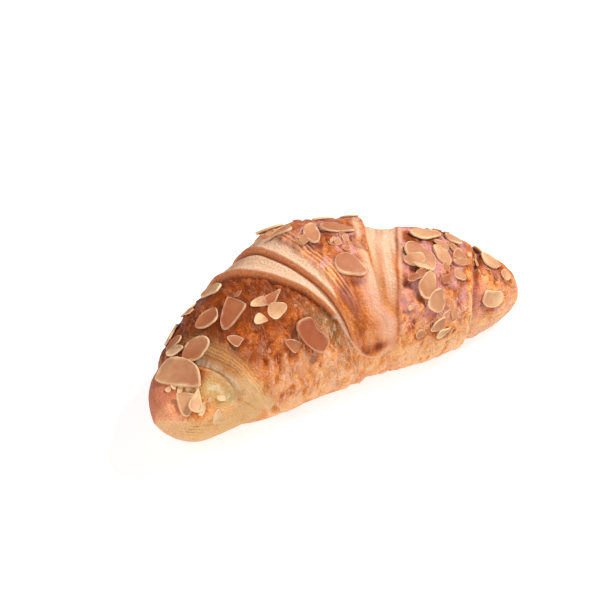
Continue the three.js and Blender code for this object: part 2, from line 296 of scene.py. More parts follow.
# %% A sphere's grid laid over the roll
SEGMENTS, RINGS = 236, 410
ZONE_ROWS = [46, 32, 60, 8, 14, 8, 10, 6, 58, 8, 24, 6, 62, 6, 62]
STEP_HALF_RUNS, STEP_MOST_SHARE = [0, 5.0, 1.3, 1.3, 0.9, 1.3, 0.9, 0.9, 0], 0.4
END_CROWDING = 1.7
UNDERSIDE_COARSENESS, COARSENESS_POWER = 0.34, 5
HALF_TURN = 180


def rows_to_x(row, angle):
    """The x, in mm, of a point whose ring is at a share of the way from the left end to the right."""
    left_end, right_end = np.full_like(angle, -LEFT_REACH), np.full_like(angle, RIGHT_REACH)
    edges = [left_end, *edges_at(angle).values(), right_end]
    stops = [left_end]
    for i, (left, right) in enumerate(zip(edges, edges[1:])):
        most = STEP_MOST_SHARE * (right - left)
        stops.append(left + np.minimum(STEP_HALF_RUNS[i], most))
        stops.append(right - np.minimum(STEP_HALF_RUNS[i + 1], most))
    del stops[1], stops[-1]
    stops = np.stack([*stops, right_end])
    marks = np.concatenate([[0], np.cumsum(ZONE_ROWS)]) / sum(ZONE_ROWS)
    zone = np.clip(np.searchsorted(marks, row, side="right") - 1, 0, len(ZONE_ROWS) - 1)
    share = (row - marks[zone]) / (marks[zone + 1] - marks[zone])
    share = np.where(zone == 0, share**END_CROWDING, share)
    share = np.where(zone == len(ZONE_ROWS) - 1, 1 - (1 - share) ** END_CROWDING, share)
    columns = np.arange(len(angle))
    return stops[zone, columns] * (1 - share) + stops[zone + 1, columns] * share


def add_skin(name):
    """A unit sphere and, for each of its vertices, the x and the angle that it takes on the roll."""
    bpy.ops.object.select_all(action="DESELECT")
    bpy.ops.mesh.primitive_uv_sphere_add(segments=SEGMENTS, ring_count=RINGS, radius=1)
    piece = bpy.context.object
    piece.name = piece.data.name = name
    unit = np.empty(len(piece.data.vertices) * 3)
    piece.data.vertices.foreach_get("co", unit)
    unit = unit.reshape(-1, 3)
    row = np.arccos(np.clip(unit[:, 2], -1, 1)) / math.pi
    round_share = np.arctan2(unit[:, 1], unit[:, 0]) / math.pi
    coarser = round_share**COARSENESS_POWER
    spread = (1 - UNDERSIDE_COARSENESS) * round_share + UNDERSIDE_COARSENESS * coarser
    angle = TOP_ANGLE + HALF_TURN * spread
    return piece, rows_to_x(row, angle), angle


crust, crust_x, crust_angle = add_skin("crust")
print("crust:", len(crust.data.vertices), "vertices,", len(crust.data.polygons), "faces")

# %% [markdown]
# ## Zones of the skin
#
# Not every stretch of a croissant bakes alike: the shells and the right cap wrinkle, and the outer wrap,
# the treads and the band stay smoother. Each zone is a soft mask between the wraps' edges, and has its
# own share of the wrinkles. Such masks can be painted as vertex groups. Here they are worked out, so
# that they follow the edges exactly.

# %% Zones of the skin
ZONE_SOFTNESS, LEFT_CAP_SOFTNESS = 0.8, 1.0
CRINKLE = dict(
    wrap=0.35, treads=0.1, left_cap=0.3, band=0.15, right_cap=0.9, right_shell=1.0, left_shell=1.0,
)


def zones_at(x, angle):
    """How far each point belongs to each zone of the skin, from 0 to 1."""
    edge = edges_at(angle)
    tip = on_tip(x, angle)
    wrap = step(x - edge["wrap_left"]) * step(edge["wrap_right"] - x) * tip
    treads = step(x - edge["low"]) * step(edge["wrap_left"] - x) * tip
    left_cap = step(edge["left_cap"] - x, LEFT_CAP_SOFTNESS)
    band = step(x - edge["wrap_right"], ZONE_SOFTNESS) * step(edge["band_right"] - x, ZONE_SOFTNESS)
    right_cap = step(x - edge["right_cap"], ZONE_SOFTNESS)
    right_shell = step(x - edge["band_right"], ZONE_SOFTNESS) * (1 - right_cap)
    left_shell = np.clip(1 - wrap - treads - left_cap - band - right_cap - right_shell, 0, 1)
    return dict(
        wrap=wrap, treads=treads, left_cap=left_cap, band=band,
        right_cap=right_cap, right_shell=right_shell, left_shell=left_shell,
    )


print("share of wrinkles in each zone:", CRINKLE)

# %% [markdown]
# ## Folds at the left end
#
# At the left end the shell stops in a rolled rim of fine strands. A strip of torn crumb and the cap's
# own fold lie beside it, and a short crease below. They could be pulled out of the mesh by hand with
# proportional editing. Here each is a stripe at some distance from the cap's edge that fades in and out
# round the roll, because the finish needs the same masks again.

# %% Folds at the left end
ROPE_LOW, ROPE_HIGH, ROPE_WIDTH = -0.3, 2.4, 2.0
STRAND_GAP, LINED_AT, LINED_WIDTH = 1.1, 1.2, 3.2
CRUMB_GAP, CRUMB_WIDTH = 3.0, 1.0
INNER_GAP, INNER_WIDTH = 4.6, 0.8
ARC_START, ARC_END, ARC_RUN, ARC_TOP, ARC_FALL, ARC_WIDTH = -9.0, -3.0, 5.5, 14.0, 30.0, 0.7
LOW_RIM_ANGLES, LOW_SPREAD = (-10, 55), 0.35
RIM_ANGLES, CRUMB_ANGLES, INNER_ANGLES = (-32, -8, 85, 115), (5, 25, 62, 85), (12, 30, 75, 100)
RIM_WARP, STRAND_WARP = 0.25, 0.3


def between_angles(angle, start, full, fading, end):
    """1 from the full angle to the fading one, and 0 before the start and past the end."""
    return smooth_step(angle, start, full) * (1 - smooth_step(angle, fading, end))


def cap_folds(x, angle, warp):
    """Masks of the shell's rolled rim, its strands, the torn crumb, the cap's fold and the crease."""
    beyond = x - edge_at("left_cap", angle)
    low_share = 1 - smooth_step(angle, *LOW_RIM_ANGLES)
    from_rim = beyond - ROPE_HIGH + (ROPE_HIGH - ROPE_LOW) * low_share + RIM_WARP * warp
    spread = 1 + LOW_SPREAD * low_share
    rim = bump_at(from_rim, ROPE_WIDTH) * between_angles(angle, *RIM_ANGLES)
    lined = bump_at(from_rim - LINED_AT, LINED_WIDTH) * between_angles(angle, *RIM_ANGLES)
    strands = np.cos(2 * math.pi * (from_rim + STRAND_WARP * warp) / STRAND_GAP) * lined
    crumb = bump_at(from_rim + CRUMB_GAP * spread, CRUMB_WIDTH) * between_angles(angle, *CRUMB_ANGLES)
    inner = bump_at(from_rim + INNER_GAP * spread, INNER_WIDTH) * between_angles(angle, *INNER_ANGLES)
    arc = ARC_TOP - ARC_FALL * ((beyond - ARC_START) / ARC_RUN) ** 2
    crease = bump_at((angle - arc) * ARC_PER_DEGREE, ARC_WIDTH)
    crease = crease * step(beyond - ARC_START) * step(ARC_END - beyond)
    return dict(rim=rim, lined=lined, strands=strands, crumb=crumb, inner=inner, crease=crease)


print("the rolled rim runs from", RIM_ANGLES[0], "to", RIM_ANGLES[-1], "degrees round the roll")

# %% [markdown]
# ## Lumps and wrinkles
#
# The real crust is never smooth. It has broad lumps where the dough rose unevenly, puffs where steam
# lifted the glaze, and broken wrinkles where the glaze ran and dried. A displace modifier with a texture
# could raise them, but it knows no zones. Here a wrinkle is the line where a noise crosses zero, raised
# and then broken up by a second noise. Features are longer round the roll than along it, because the
# dough was stretched that way.

# %% Relief of the baked skin
LUMP_CELL, LUMP_HEIGHT = 19.0, 0.9
PUFF_CELL, PUFF_HEIGHT = (4.5, 7.0), 0.8
WRINKLE_CELL, WRINKLE_HEIGHT, WRINKLE_WIDTH = (3.2, 7.5), 0.65, 0.22
WRINKLE_BREAK, BREAK_RANGE = (3.2, 5.0), (-0.2, 0.35)
PIMPLE_CELL, PIMPLE_HEIGHT = (1.6, 2.4), 0.25
STROKE_CELL, STROKE_HEIGHT = (2.3, 6.0), 0.35
STREAK_CELL, STREAK_HEIGHT = (1.4, 14.0), 0.16
THREAD_CELL, THREAD_HEIGHT = (1.7, 18.0), 0.2
SHEET_GAP, SHEETS_WIDTH, SHEET_HEIGHT, SHEET_ANGLES = 1.6, 7.0, 0.16, (30, 55)
END_LINE_GAP, END_LINE_HEIGHT, END_LINE_REACH, END_LINE_ANGLES = 7.0, 0.22, (62, 74), (5, 30)
END_LINE_CELL, END_LINE_RISE, END_LINE_BREAKS = 6.0, (0.3, 1.0), (-0.2, 0.3)
WARP_CELL, WARP_REACH = 8.0, 1.8
CALM_CELL, CALM_RANGE, CALM_SHARE, CALM_STRIP = 13.0, (-0.5, 0.5), 0.65, 0.8
CREST_CRINKLE, CREST_ANGLES = 0.5, (50, 72)
LUMP_OCTAVES, PUFF_OCTAVES = 2, 2
ROPE_HEIGHT, STRAND_HEIGHT, INNER_HEIGHT, CRUMB_DEPTH, ARC_DEPTH = 1.0, 0.12, 0.7, 0.6, 0.4
LAYERS = dict(
    warp=5.0, calm=31.0, ends=12.0, puffs=3.5, wrinkles=9.5, breaks=14.5,
    pimples=27.5, strokes=41.5, streaks=61.5, threads=5.5,
)


def round_the_roll(x, angle, cell, layer):
    """Noise points for a feature that is cell[0] wide along the roll and cell[1] long round it."""
    return np.stack([x / cell[0], angle * ARC_PER_DEGREE / cell[1], 0 * x + layer], axis=-1)


def baked_relief(x, angle):
    """The skin's unevenness in mm, and its parts, at x and angle."""
    points = skin_at(x, angle)
    zone = zones_at(x, angle)
    edge = edges_at(angle)
    warp = WARP_REACH * noise(points / WARP_CELL + LAYERS["warp"])
    folds = cap_folds(x, angle, warp)
    calm = smooth_step(noise(points / CALM_CELL + LAYERS["calm"]), *CALM_RANGE)
    crinkle = sum(CRINKLE[name] * zone[name] for name in CRINKLE)
    crinkle = crinkle + CREST_CRINKLE * zone["wrap"] * smooth_step(angle, *CREST_ANGLES)
    crinkle = crinkle * (1 - CALM_SHARE + CALM_SHARE * calm) * (1 - CALM_STRIP * folds["lined"])
    lumps = layered_noise(points / LUMP_CELL, LUMP_OCTAVES)
    puff_points = round_the_roll(x + 2 * warp, angle, PUFF_CELL, LAYERS["puffs"])
    puffs = layered_noise(puff_points, PUFF_OCTAVES)
    ridges = noise(round_the_roll(x + warp, angle + 2 * warp, WRINKLE_CELL, LAYERS["wrinkles"]))
    breaks = noise(round_the_roll(x, angle, WRINKLE_BREAK, LAYERS["breaks"]))
    wrinkles = bump_at(ridges, WRINKLE_WIDTH) * smooth_step(breaks, *BREAK_RANGE)
    pimples = noise(round_the_roll(x, angle, PIMPLE_CELL, LAYERS["pimples"]))
    strokes = noise(round_the_roll(x + 0.7 * warp, angle + warp, STROKE_CELL, LAYERS["strokes"]))
    from_right = x - edge["wrap_right"]
    streaks = noise(round_the_roll(from_right + 0.4 * warp, angle, STREAK_CELL, LAYERS["streaks"]))
    from_side = np.where(x > edge["wrap_left"], from_right, x - edge["low"])
    threads = noise(round_the_roll(from_side + 0.2 * warp, angle, THREAD_CELL, LAYERS["threads"]))
    from_edge = x - edge["wrap_left"] + 0.15 * warp
    sheets = np.cos(2 * math.pi * from_edge / SHEET_GAP) * dome(from_edge, 0, SHEETS_WIDTH)
    sheets = sheets * zone["wrap"] * smooth_step(angle, *SHEET_ANGLES)
    end_lines = smooth_step(np.sin(2 * math.pi * (angle + 4 * warp) / END_LINE_GAP), *END_LINE_RISE)
    end_breaks = noise(points / END_LINE_CELL + LAYERS["ends"])
    end_lines = end_lines * smooth_step(end_breaks, *END_LINE_BREAKS)
    end_lines = end_lines * smooth_step(-x, *END_LINE_REACH) * (1 - smooth_step(angle, *END_LINE_ANGLES))
    rough = PUFF_HEIGHT * puffs + WRINKLE_HEIGHT * wrinkles + PIMPLE_HEIGHT * pimples
    relief = LUMP_HEIGHT * lumps + crinkle * (rough + STROKE_HEIGHT * strokes)
    relief = relief + STREAK_HEIGHT * zone["wrap"] * streaks + SHEET_HEIGHT * sheets
    relief = relief + THREAD_HEIGHT * (zone["treads"] + zone["band"]) * threads
    relief = relief + ROPE_HEIGHT * folds["rim"] + STRAND_HEIGHT * folds["strands"]
    relief = relief + INNER_HEIGHT * folds["inner"] - CRUMB_DEPTH * folds["crumb"] * (1 + 0.5 * pimples)
    relief = relief - ARC_DEPTH * folds["crease"] - END_LINE_HEIGHT * end_lines
    parts = dict(
        points=points, warp=warp, crinkle=crinkle, puffs=puffs, wrinkles=wrinkles, pimples=pimples,
        strokes=strokes, streaks=streaks, threads=threads, sheets=sheets, end_lines=end_lines,
    )
    return relief * topside(angle), {**zone, **folds, **parts}


relief, spot = baked_relief(crust_x, crust_angle)
bare_points = skin_at(crust_x, crust_angle)
cad_middle = (cad_low + cad_high) / 2 / MM
bare_middle = (bare_points.min(axis=0) + bare_points.max(axis=0)) / 2
SHIFT = np.array([cad_middle.x - bare_middle[0], cad_middle.y - bare_middle[1], 0.0])
crust_points = skin_at(crust_x, crust_angle, relief) + SHIFT
crust.data.vertices.foreach_set("co", (crust_points * MM).ravel())
crust.data.update()
bpy.ops.object.shade_smooth()
print("shift to the frame in mm:", SHIFT.round(2))
print("relief in mm: from", relief.min().round(2), "to", relief.max().round(2))

# %% [markdown]
# ## What the oven did to each spot
#
# The finish is read from values that are stored on the mesh: how brown a spot is, how pale where the
# layers show, and how moist where the filling has soaked the dough. They could be painted by hand in the
# weight paint mode. Here they come from the same edges as the shape, so colour and relief can't drift
# apart. This cell makes the brushes: a stripe beside an edge, a round dab, patches, and fades over the
# angle.

# %% Brushes for the finish
END_CALM = (0.5, 9.0)
CRISP_GAIN = 1.4

edge = edges_at(crust_angle)
beyond = {name: crust_x - x for name, x in edge.items()}
tip = on_tip(crust_x, crust_angle)
right_end = smooth_step(RIGHT_REACH - crust_x, *END_CALM)
left_end = smooth_step(crust_x + LEFT_REACH, *END_CALM)
crisp = np.clip(spot["crinkle"] * CRISP_GAIN, 0, 1) * right_end * left_end


def store(piece, name, values):
    attribute = piece.data.attributes.new(name, "FLOAT", "POINT")
    attribute.data.foreach_set("value", np.clip(values, 0, 1).astype(np.float32))


def above(start, end):
    """0 below the start angle and 1 above the end angle."""
    return smooth_step(crust_angle, start, end)


def below(start, end):
    return 1 - above(start, end)


def beside(name, at, width):
    """A stripe along a wrap's edge, at some mm beyond it and so many mm wide on either side."""
    return bump_at(beyond[name] - at, width)


def dab(x, angle, wide, high):
    """A round dab, so many mm wide along the roll and high round it."""
    return bump_at(crust_x - x, wide) * bump_at((crust_angle - angle) * ARC_PER_DEGREE, high)


def patchy(cell, layer, start, end, octaves=1):
    """Patches about cell mm wide, from 0 where their noise is at the start to 1 at the end."""
    return smooth_step(layered_noise(spot["points"] / cell + layer, octaves), start, end)


def added(marks):
    """The sum of marks, each given as its strength and its mask."""
    return sum(strength * mask for strength, mask in marks.values())


print("mean share of each zone:", {name: float(spot[name].mean().round(2)) for name in CRINKLE})

# %% [markdown]
# ## How brown each spot is
#
# Browning follows the shape. The crest is darkest, and the creases and the hollows between the wrinkles
# are darkened with painted shade. The crowns of puffs are lightened with painted light, edges are
# lighter, and so are the low front and both caps. The tip is darker, and painted shadows pool beside
# some slices. Each mark below has a strength, which darkens above zero and lightens below, and a mask.
# Lips and the line on the wrap's right take a browning of their own, and so do the feet of the steps,
# browned and darkened with painted shade. One long formula would do the same, but nobody could read it.

# %% Browning
PLAIN_BROWN, LIP_BROWN, LINE_DARKER, LIP_THREADS, FOOT_BROWN_AND_SHADE = 0.46, 0.37, 0.09, 0.12, 0.80
PATCH_CELL, PATCH_LAYER, PATCH_OCTAVES = 9.0, 40.0, 4
# painted shadows beside slices, each as x, angle, width in mm and height in mm
SHADOW_POOLS = [
    (-2, 46, 4.5, 1.3), (-31, 34, 2.2, 2.2), (-52, 53, 1.8, 1.2), (21.5, 13, 1.3, 1.1), (28, 8.5, 0.8, 2.0),
]

patches = layered_noise(spot["points"] / PATCH_CELL + PATCH_LAYER, PATCH_OCTAVES)
low_end = below(15, 45)
wrap_border = above(34, 56) * spot["wrap"]
tip_smear = dab(TIP_X - 0.5, 3, 6.5, 2.25) * tip
lips = (beside("low", 0.3, 0.6) + beside("middle", 0.2, 0.5)) * tip
# the feet of the steps: a browned line darkened with painted shade
browned_and_shaded_feet = (beside("low", -0.7, 0.4) + beside("middle", -0.6, 0.35)) * tip
wrap_line = beside("wrap_right", -0.6, 0.9) * tip
band_crease = beside("band_right", -0.5, 0.6) * above(12, 25)
shell_edge = beside("band_right", 1.1, 0.9) * above(28, 48)
cap_ridge = beside("right_cap", CAP_RIDGE_AT, CAP_RIDGE_WIDTH)
cap_shade = beside("right_cap", CAP_CREASE_AT + 1.6, 1.8) * above(25, 50)
window = beside("low", -4.5, 3.8) * bump_at(crust_angle - 25, 20) * spot["left_shell"]
fold_side = dab(-68, 58, 3.0, 5.0)

brown = PLAIN_BROWN + added({
    "low front": (-0.36, below(-28, 36)),
    "low back": (-0.26, above(150, 205)),
    "underside": (-0.10, above(205, 265)),
    "crest": (0.22, above(50, 75)),
    "patches": (0.14, patches),
    # painted light on the crowns of puffs and pimples, painted shade in the hollows between strokes
    "puffs": (-0.12, crisp * spot["puffs"]),
    "pimples": (-0.12, crisp * spot["pimples"]),
    "between strokes": (0.26, crisp * smooth_step(-spot["strokes"], 0.05, 0.6)),
    "left shell": (0.20, spot["left_shell"] * above(10, 42)),
    "sheets": (-0.22, spot["sheets"]),
    "wrap": (-0.06, spot["wrap"]),
    "wrap's streaks": (-0.22, spot["wrap"] * spot["streaks"]),
    # painted shade along the wrap's left side, low on the front towards the tip
    "wrap's left side": (0.40, beside("wrap_left", 2.4, 3.0) * spot["wrap"] * below(34, 60)),
    "wrap's upper left": (-0.30, beside("wrap_left", 2.0, 5.0) * spot["wrap"] * above(40, 58)),
    "wrap's border": (-0.30, beside("wrap_right", -3.0, 2.5) * wrap_border),
    "wrap's pits": (0.35, patchy(2.6, 91.0, 0.2, 0.5) * spot["wrap"] * above(58, 72)),
    "tip": (0.45, tip_smear),
    "tip's middle": (0.35, dab(TIP_X + 0.5, 2, 3.0, 1.25)),
    # painted shadows that pool beside some slices
    "painted shadows beside slices": (0.40, sum(dab(*pool) for pool in SHADOW_POOLS)),
    "band's crease": (0.16, band_crease),
    "right shell": (-0.06, spot["right_shell"] * below(20, 45)),
    "right shell's edge": (-0.20, shell_edge),
    "right shell's pits": (0.35, patchy(2.2, 88.0, 0.35, 0.6) * spot["right_shell"] * (1 - cap_ridge)),
    "right cap": (-0.15, spot["right_cap"]),
    "right cap's top": (-0.10, spot["right_cap"] * above(10, 45)),
    # painted shade in the crease where the right shell stands over the cap
    "right cap's crease": (0.60, beside("right_cap", CAP_CREASE_AT, CAP_CREASE_WIDTH) * above(5, 30)),
    "right cap's shade": (0.30, cap_shade),
    "right cap's ridge": (-0.20, cap_ridge),
    "left cap": (-0.16, spot["left_cap"]),
    "left end's lines": (0.40, spot["end_lines"]),
    "left end's crease": (0.40, spot["crease"]),
    "left end's rim": (-0.25, spot["rim"] * low_end),
    "left end's lined strip": (-0.20, spot["lined"] * low_end),
    "left end's strands": (-0.09, spot["strands"]),
    "left end's inner fold": (-0.20, spot["inner"]),
})
lines = np.clip(lips + wrap_line, 0, 1)
brown = brown * (1 - lines) + (LIP_BROWN + LINE_DARKER * wrap_line + LIP_THREADS * spot["threads"]) * lines
brown = brown * (1 - np.clip(browned_and_shaded_feet, 0, 1)) + FOOT_BROWN_AND_SHADE * np.clip(browned_and_shaded_feet, 0, 1)
brown = brown + added({"window": (0.36, window), "fold's side": (0.45, fold_side)})
store(crust, "brown", brown)
print("mean browning:", brown.mean().round(2))

# %% [markdown]
# ## Where the layers show
#
# On the treads and the band the dough's inner layers lie bare, and stay pale. The upper tread's stripe
# tapers off down the front, and the lower one runs on further. The same cream shows in thin lines on the
# wrap's border, round its tip and between its sheets. Over the back the layers are toasted in patches.
# The stripes end by the angle, and not at a painted border, so they keep to their treads.

# %% Pale layers
UPPER_WIDTH, UPPER_FROM, UPPER_RUN, BACK_WIDTH = 4.2, 36, 22, 8.0
INTO_WRAP_REACH = 1.2
BACK_TOAST, BACK_PATCHES = 0.18, 0.40

upper_width = UPPER_WIDTH * np.clip((crust_angle - UPPER_FROM) / UPPER_RUN, 0, 1)
upper_width = upper_width + BACK_WIDTH * above(58, 75)
upper_end = smooth_step(upper_width - beyond["middle"], -0.7, 0.7) * above(34, 44)
stripe_end = np.where(beyond["middle"] > 0, upper_end, above(6, 22))
stripe_end = np.maximum(stripe_end, smooth_step(-crust_angle, 60, 70))
into_wrap = np.exp(-np.maximum(beyond["wrap_left"], 0) / INTO_WRAP_REACH)
into_wrap = into_wrap * step(beyond["wrap_left"]) * spot["wrap"]
stripes = (spot["treads"] + 0.4 * into_wrap) * (1 + 0.25 * spot["threads"]) * stripe_end
band_share = np.clip(beyond["wrap_right"] / (edge["band_right"] - edge["wrap_right"]), 0, 1)
band_pale = (0.75 - 0.2 * band_share**2 + 0.8 * spot["threads"]) * above(0, 55)
band_pale = band_pale - 0.25 * bump_at(crust_angle - 50, 14) + 0.3 * above(62, 85)
border = beside("wrap_right", -3.0 - 0.5 * spot["warp"], 1.5) * wrap_border * patchy(6.0, 23.0, -0.75, 0.1)
tip_rim = bump_at(tip - 0.5, 0.25) * step(-beyond["wrap_right"]) * step(beyond["low"])
right_half = smooth_step(crust_x, edge["wrap_left"] + 6, edge["wrap_right"] - 3) * below(35, 60)
right_half = right_half * spot["wrap"] * (1 - tip_smear)

pale = added({
    "stripes": (1.0, stripes * (1 - np.clip(lips + 1.1 * browned_and_shaded_feet, 0, 1))),
    "band": (1.0, spot["band"] * band_pale * (1 - 0.7 * band_crease)),
    "right shell's edge": (0.5, shell_edge),
    "wrap's border": (1.0, (0.9 + 0.4 * spot["streaks"]) * border),
    "tip's rim": (1.1, tip_rim),
    "sheets": (0.55, np.clip(spot["sheets"], 0, 1)),
    "wrap's right half": (0.42, right_half),
})
pale = pale * (1 - wrap_line)
pale = pale + 0.25 * (spot["rim"] * low_end + np.clip(spot["strands"], 0, 1))
pale = pale * (1 - above(92, 125) * (BACK_TOAST + BACK_PATCHES * patchy(8.0, 101.0, -0.4, 0.5, octaves=3)))
store(crust, "pale", pale)
print("mean paleness:", pale.mean().round(2))

# %% [markdown]
# ## Soaked dough, crumb and glaze
#
# Almond filling has soaked the left cap, which is moist and greenish there, and shows a little through
# the shell beside the lowest tread. White crumb stands in the torn fold and in a few spots near it. A
# thin glaze gives the right side its pink tinge, in patches, and the crest has pink spots of painted
# highlight. Each is a value of its own, so that one can be changed without the others.

# %% Moist dough, crumb and glaze
WHITE_SPOTS = [
    (-66, 41), (-64.5, 37), (-62.5, 33), (-62, 25), (-60, 18), (-58.5, 8), (-63.5, 8), (-56.5, 0),
]
WHITE_WIDE, WHITE_HIGH = 0.8, 1.3
MOST_MOIST = 0.85
HIGHLIGHT_SPOT_CELL, HIGHLIGHT_SPOT_LAYER, HIGHLIGHT_SPOT_RANGE = (2.2, 3.2), 71.5, (0.12, 0.42)

soaked = beside("left_cap", -8, 6) * above(0, 14) * below(45, 70)
golden = spot["left_cap"] * below(-6, 8) * above(-85, -45)
moist = added({
    "soaked": (1.0, soaked * (0.9 + 0.3 * patches)),
    "golden": (0.38, golden),
    "lined strip": (0.35, spot["lined"]),
    "window": (0.3, window * (0.8 + 0.5 * patches)),
})
# a strip of the band beside the wrap's edge takes some of the moist colour too
moist = moist * (1 - 0.8 * fold_side) + 0.25 * spot["band"] * beside("wrap_right", 1.5, 1.5)
crumb = added({
    "torn fold": (0.8, spot["crumb"] * (0.75 + 0.9 * spot["pimples"])),
    "white spots": (0.4, sum(dab(x, angle, WHITE_WIDE, WHITE_HIGH) for x, angle in WHITE_SPOTS)),
    "soaked": (0.35, soaked * patchy(1.6, 55.0, 0.2, 0.5)),
    "window": (0.6, window * patchy(1.8, 66.0, 0.3, 0.55)),
})
# pink spots of painted highlight on the crest
painted_highlight_spots = smooth_step(noise(round_the_roll(crust_x, crust_angle, HIGHLIGHT_SPOT_CELL, HIGHLIGHT_SPOT_LAYER)), *HIGHLIGHT_SPOT_RANGE)
painted_highlight_spots = painted_highlight_spots * between_angles(crust_angle, 45, 62, 92, 115) * spot["wrap"]
glaze = added({
    "right shell": (0.9, spot["right_shell"] * above(2, 22)),
    "right cap": (0.4, spot["right_cap"]),
    "wrap": (0.3, spot["wrap"] * above(22, 48)),
})
glaze = glaze * patchy(7.0, 77.0, -0.35, 0.45, octaves=3) * (1 - cap_ridge) * (1 - cap_shade)
glaze = glaze * (1 - 0.6 * above(95, 130)) + added({
    "painted highlight spots": (0.9, painted_highlight_spots * (1 - smooth_step(beyond["wrap_right"], -8, -4))),
    "lips": (0.12, lips),
    "left end": (0.35, smooth_step(-crust_x, 72, 82)),
    "wrap's right half": (0.5, right_half),
})
store(crust, "moist", np.minimum(moist, MOST_MOIST))
store(crust, "crumb", crumb)
store(crust, "glaze", glaze)
print("mean glaze:", glaze.mean().round(2))

# %% [markdown]
# ## Fine lines and gloss
#
# Wrinkles catch the light as peach strokes, which are stored as they are. Finer wrinkles and thin dark
# cracks are drawn by the material, because the mesh is too coarse for them, and `crisp` and `dark_lines`
# only say where. The last attribute, `roll`, gives each vertex its place on the unrolled skin, so that
# the material's noises can follow the roll.

# %% Lines, gloss and the place on the roll
low_share = 0.1 + 0.9 * low_end
stroke = crisp * (0.65 * spot["wrinkles"] + 0.6 * smooth_step(spot["strokes"], 0.1, 0.6)) * low_share
dark_lines = added({
    "left shell": (1.0, spot["left_shell"] * above(15, 40)),
    "right shell": (1.0, spot["right_shell"] * above(-5, 15)),
    "right cap": (0.8, spot["right_cap"] * right_end),
    "wrap": (1.0, spot["wrap"] * above(50, 68)),
})
not_pale = 1 - np.clip(pale, 0, 1)
store(crust, "stroke", stroke * (1 - 0.5 * np.clip(glaze, 0, 1)))
store(crust, "crisp", crisp * not_pale * (0.2 + 0.8 * low_end))
store(crust, "dark_lines", dark_lines * not_pale)
store(crust, "gloss", 0.5 * crisp * (0.6 * stroke + 0.4 * spot["puffs"]) - 0.2 * pale + 0.4 * soaked)
roll_place = crust.data.attributes.new("roll", "FLOAT_VECTOR", "POINT")
roll_values = np.stack([crust_x + 0.5 * spot["warp"], crust_angle * ARC_PER_DEGREE, 0 * crust_x], axis=-1)
roll_place.data.foreach_set("vector", roll_values.astype(np.float32).ravel())
print("values on the crust:", [attribute.name for attribute in crust.data.attributes])

# %% [markdown]
# ## Helpers for materials
#
# Each material is a Principled shader whose colours come from ramps. Its nodes could be laid out by hand
# in the shader editor. The helpers only save typing: one adds a node and fills its inputs, and one fills
# a ramp's stops. The fine unevenness that crust and almonds share is a node group.

# %% Node helpers and the shared mottling
MIX_FACTOR, MIX_FIRST, MIX_SECOND, MIX_RESULT = 0, 6, 7, 2
MOTTLE_DETAIL, MOTTLE_LOW, MOTTLE_HIGH = 4.0, 0.3, 0.7


def new_material(name):
    material = bpy.data.materials.new(name)
    material.use_nodes = True
    return material.node_tree, material


def add_node(tree, kind, inputs, **settings):
    """A node with its settings, whose inputs are set to a value or linked from another node's output."""
    node = tree.nodes.new(kind)
    for name, value in settings.items():
        setattr(node, name, value)
    for name, value in inputs.items():
        if isinstance(value, bpy.types.NodeSocket):
            tree.links.new(value, node.inputs[name])
        else:
            node.inputs[name].default_value = value
    return node


def value_on_mesh(tree, name):
    return add_node(tree, "ShaderNodeAttribute", {}, attribute_name=name).outputs["Fac"]


def math_node(tree, operation, first, second, third=0.0):
    inputs = {0: first, 1: second, 2: third}
    return add_node(tree, "ShaderNodeMath", inputs, operation=operation).outputs[0]


def ramp(tree, value, stops):
    node = add_node(tree, "ShaderNodeValToRGB", {"Fac": value})
    elements = node.color_ramp.elements
    while len(elements) < len(stops):
        elements.new(0.5)
    for element, (position, colour) in zip(elements, stops):
        element.position = position
        element.color = (*colour, 1)
    return node.outputs["Color"]


def mix_colours(tree, factor, first, second):
    """Two colours mixed, each given as red, green and blue or as another node's output."""
    inputs = {MIX_FACTOR: factor}
    for index, colour in ((MIX_FIRST, first), (MIX_SECOND, second)):
        inputs[index] = (*colour, 1) if isinstance(colour, tuple) else colour
    return add_node(tree, "ShaderNodeMix", inputs, data_type="RGBA").outputs[MIX_RESULT]


def make_mottling():
    """A node group: an uneven value around 0.5 from object coordinates, with cells of a chosen scale."""
    group = bpy.data.node_groups.new("mottling", "ShaderNodeTree")
    group.interface.new_socket("Scale", in_out="INPUT", socket_type="NodeSocketFloat")
    group.interface.new_socket("Value", in_out="OUTPUT", socket_type="NodeSocketFloat")
    scale = add_node(group, "NodeGroupInput", {}).outputs["Scale"]
    place = add_node(group, "ShaderNodeTexCoord", {}).outputs["Object"]
    grain = add_node(group, "ShaderNodeTexNoise", {
        "Vector": place, "Scale": scale, "Detail": MOTTLE_DETAIL,
    })
    spread = add_node(group, "ShaderNodeMapRange", {
        "Value": grain.outputs["Fac"], "From Min": MOTTLE_LOW, "From Max": MOTTLE_HIGH,
    })
    add_node(group, "NodeGroupOutput", {"Value": spread.outputs["Result"]})
    return group


mottling = make_mottling()


def mottle(tree, scale):
    return add_node(tree, "ShaderNodeGroup", {"Scale": scale}, node_tree=mottling).outputs["Value"]


print("node group:", mottling.name, "with", len(mottling.nodes), "nodes")

# %% [markdown]
# ## Fine lines for the crust
#
# Seen close, the crust is drawn over with peach wrinkles, pale crests whose colour is partly a painted
# highlight, and thin dark cracks, finer than the mesh. As with the modelled wrinkles, a line is where a
# noise is halfway between its ends, and a second noise breaks it up. The noises read the place on the
# unrolled skin, so the lines run round the roll and not straight through it. A painted texture could
# hold them too, if it were very large.

# %% Lines on the roll
LINE_DETAIL, LINE_DISTORTION, HALFWAY, LINE_GAPS = 2.0, 0.9, 0.5, (0.40, 0.56)


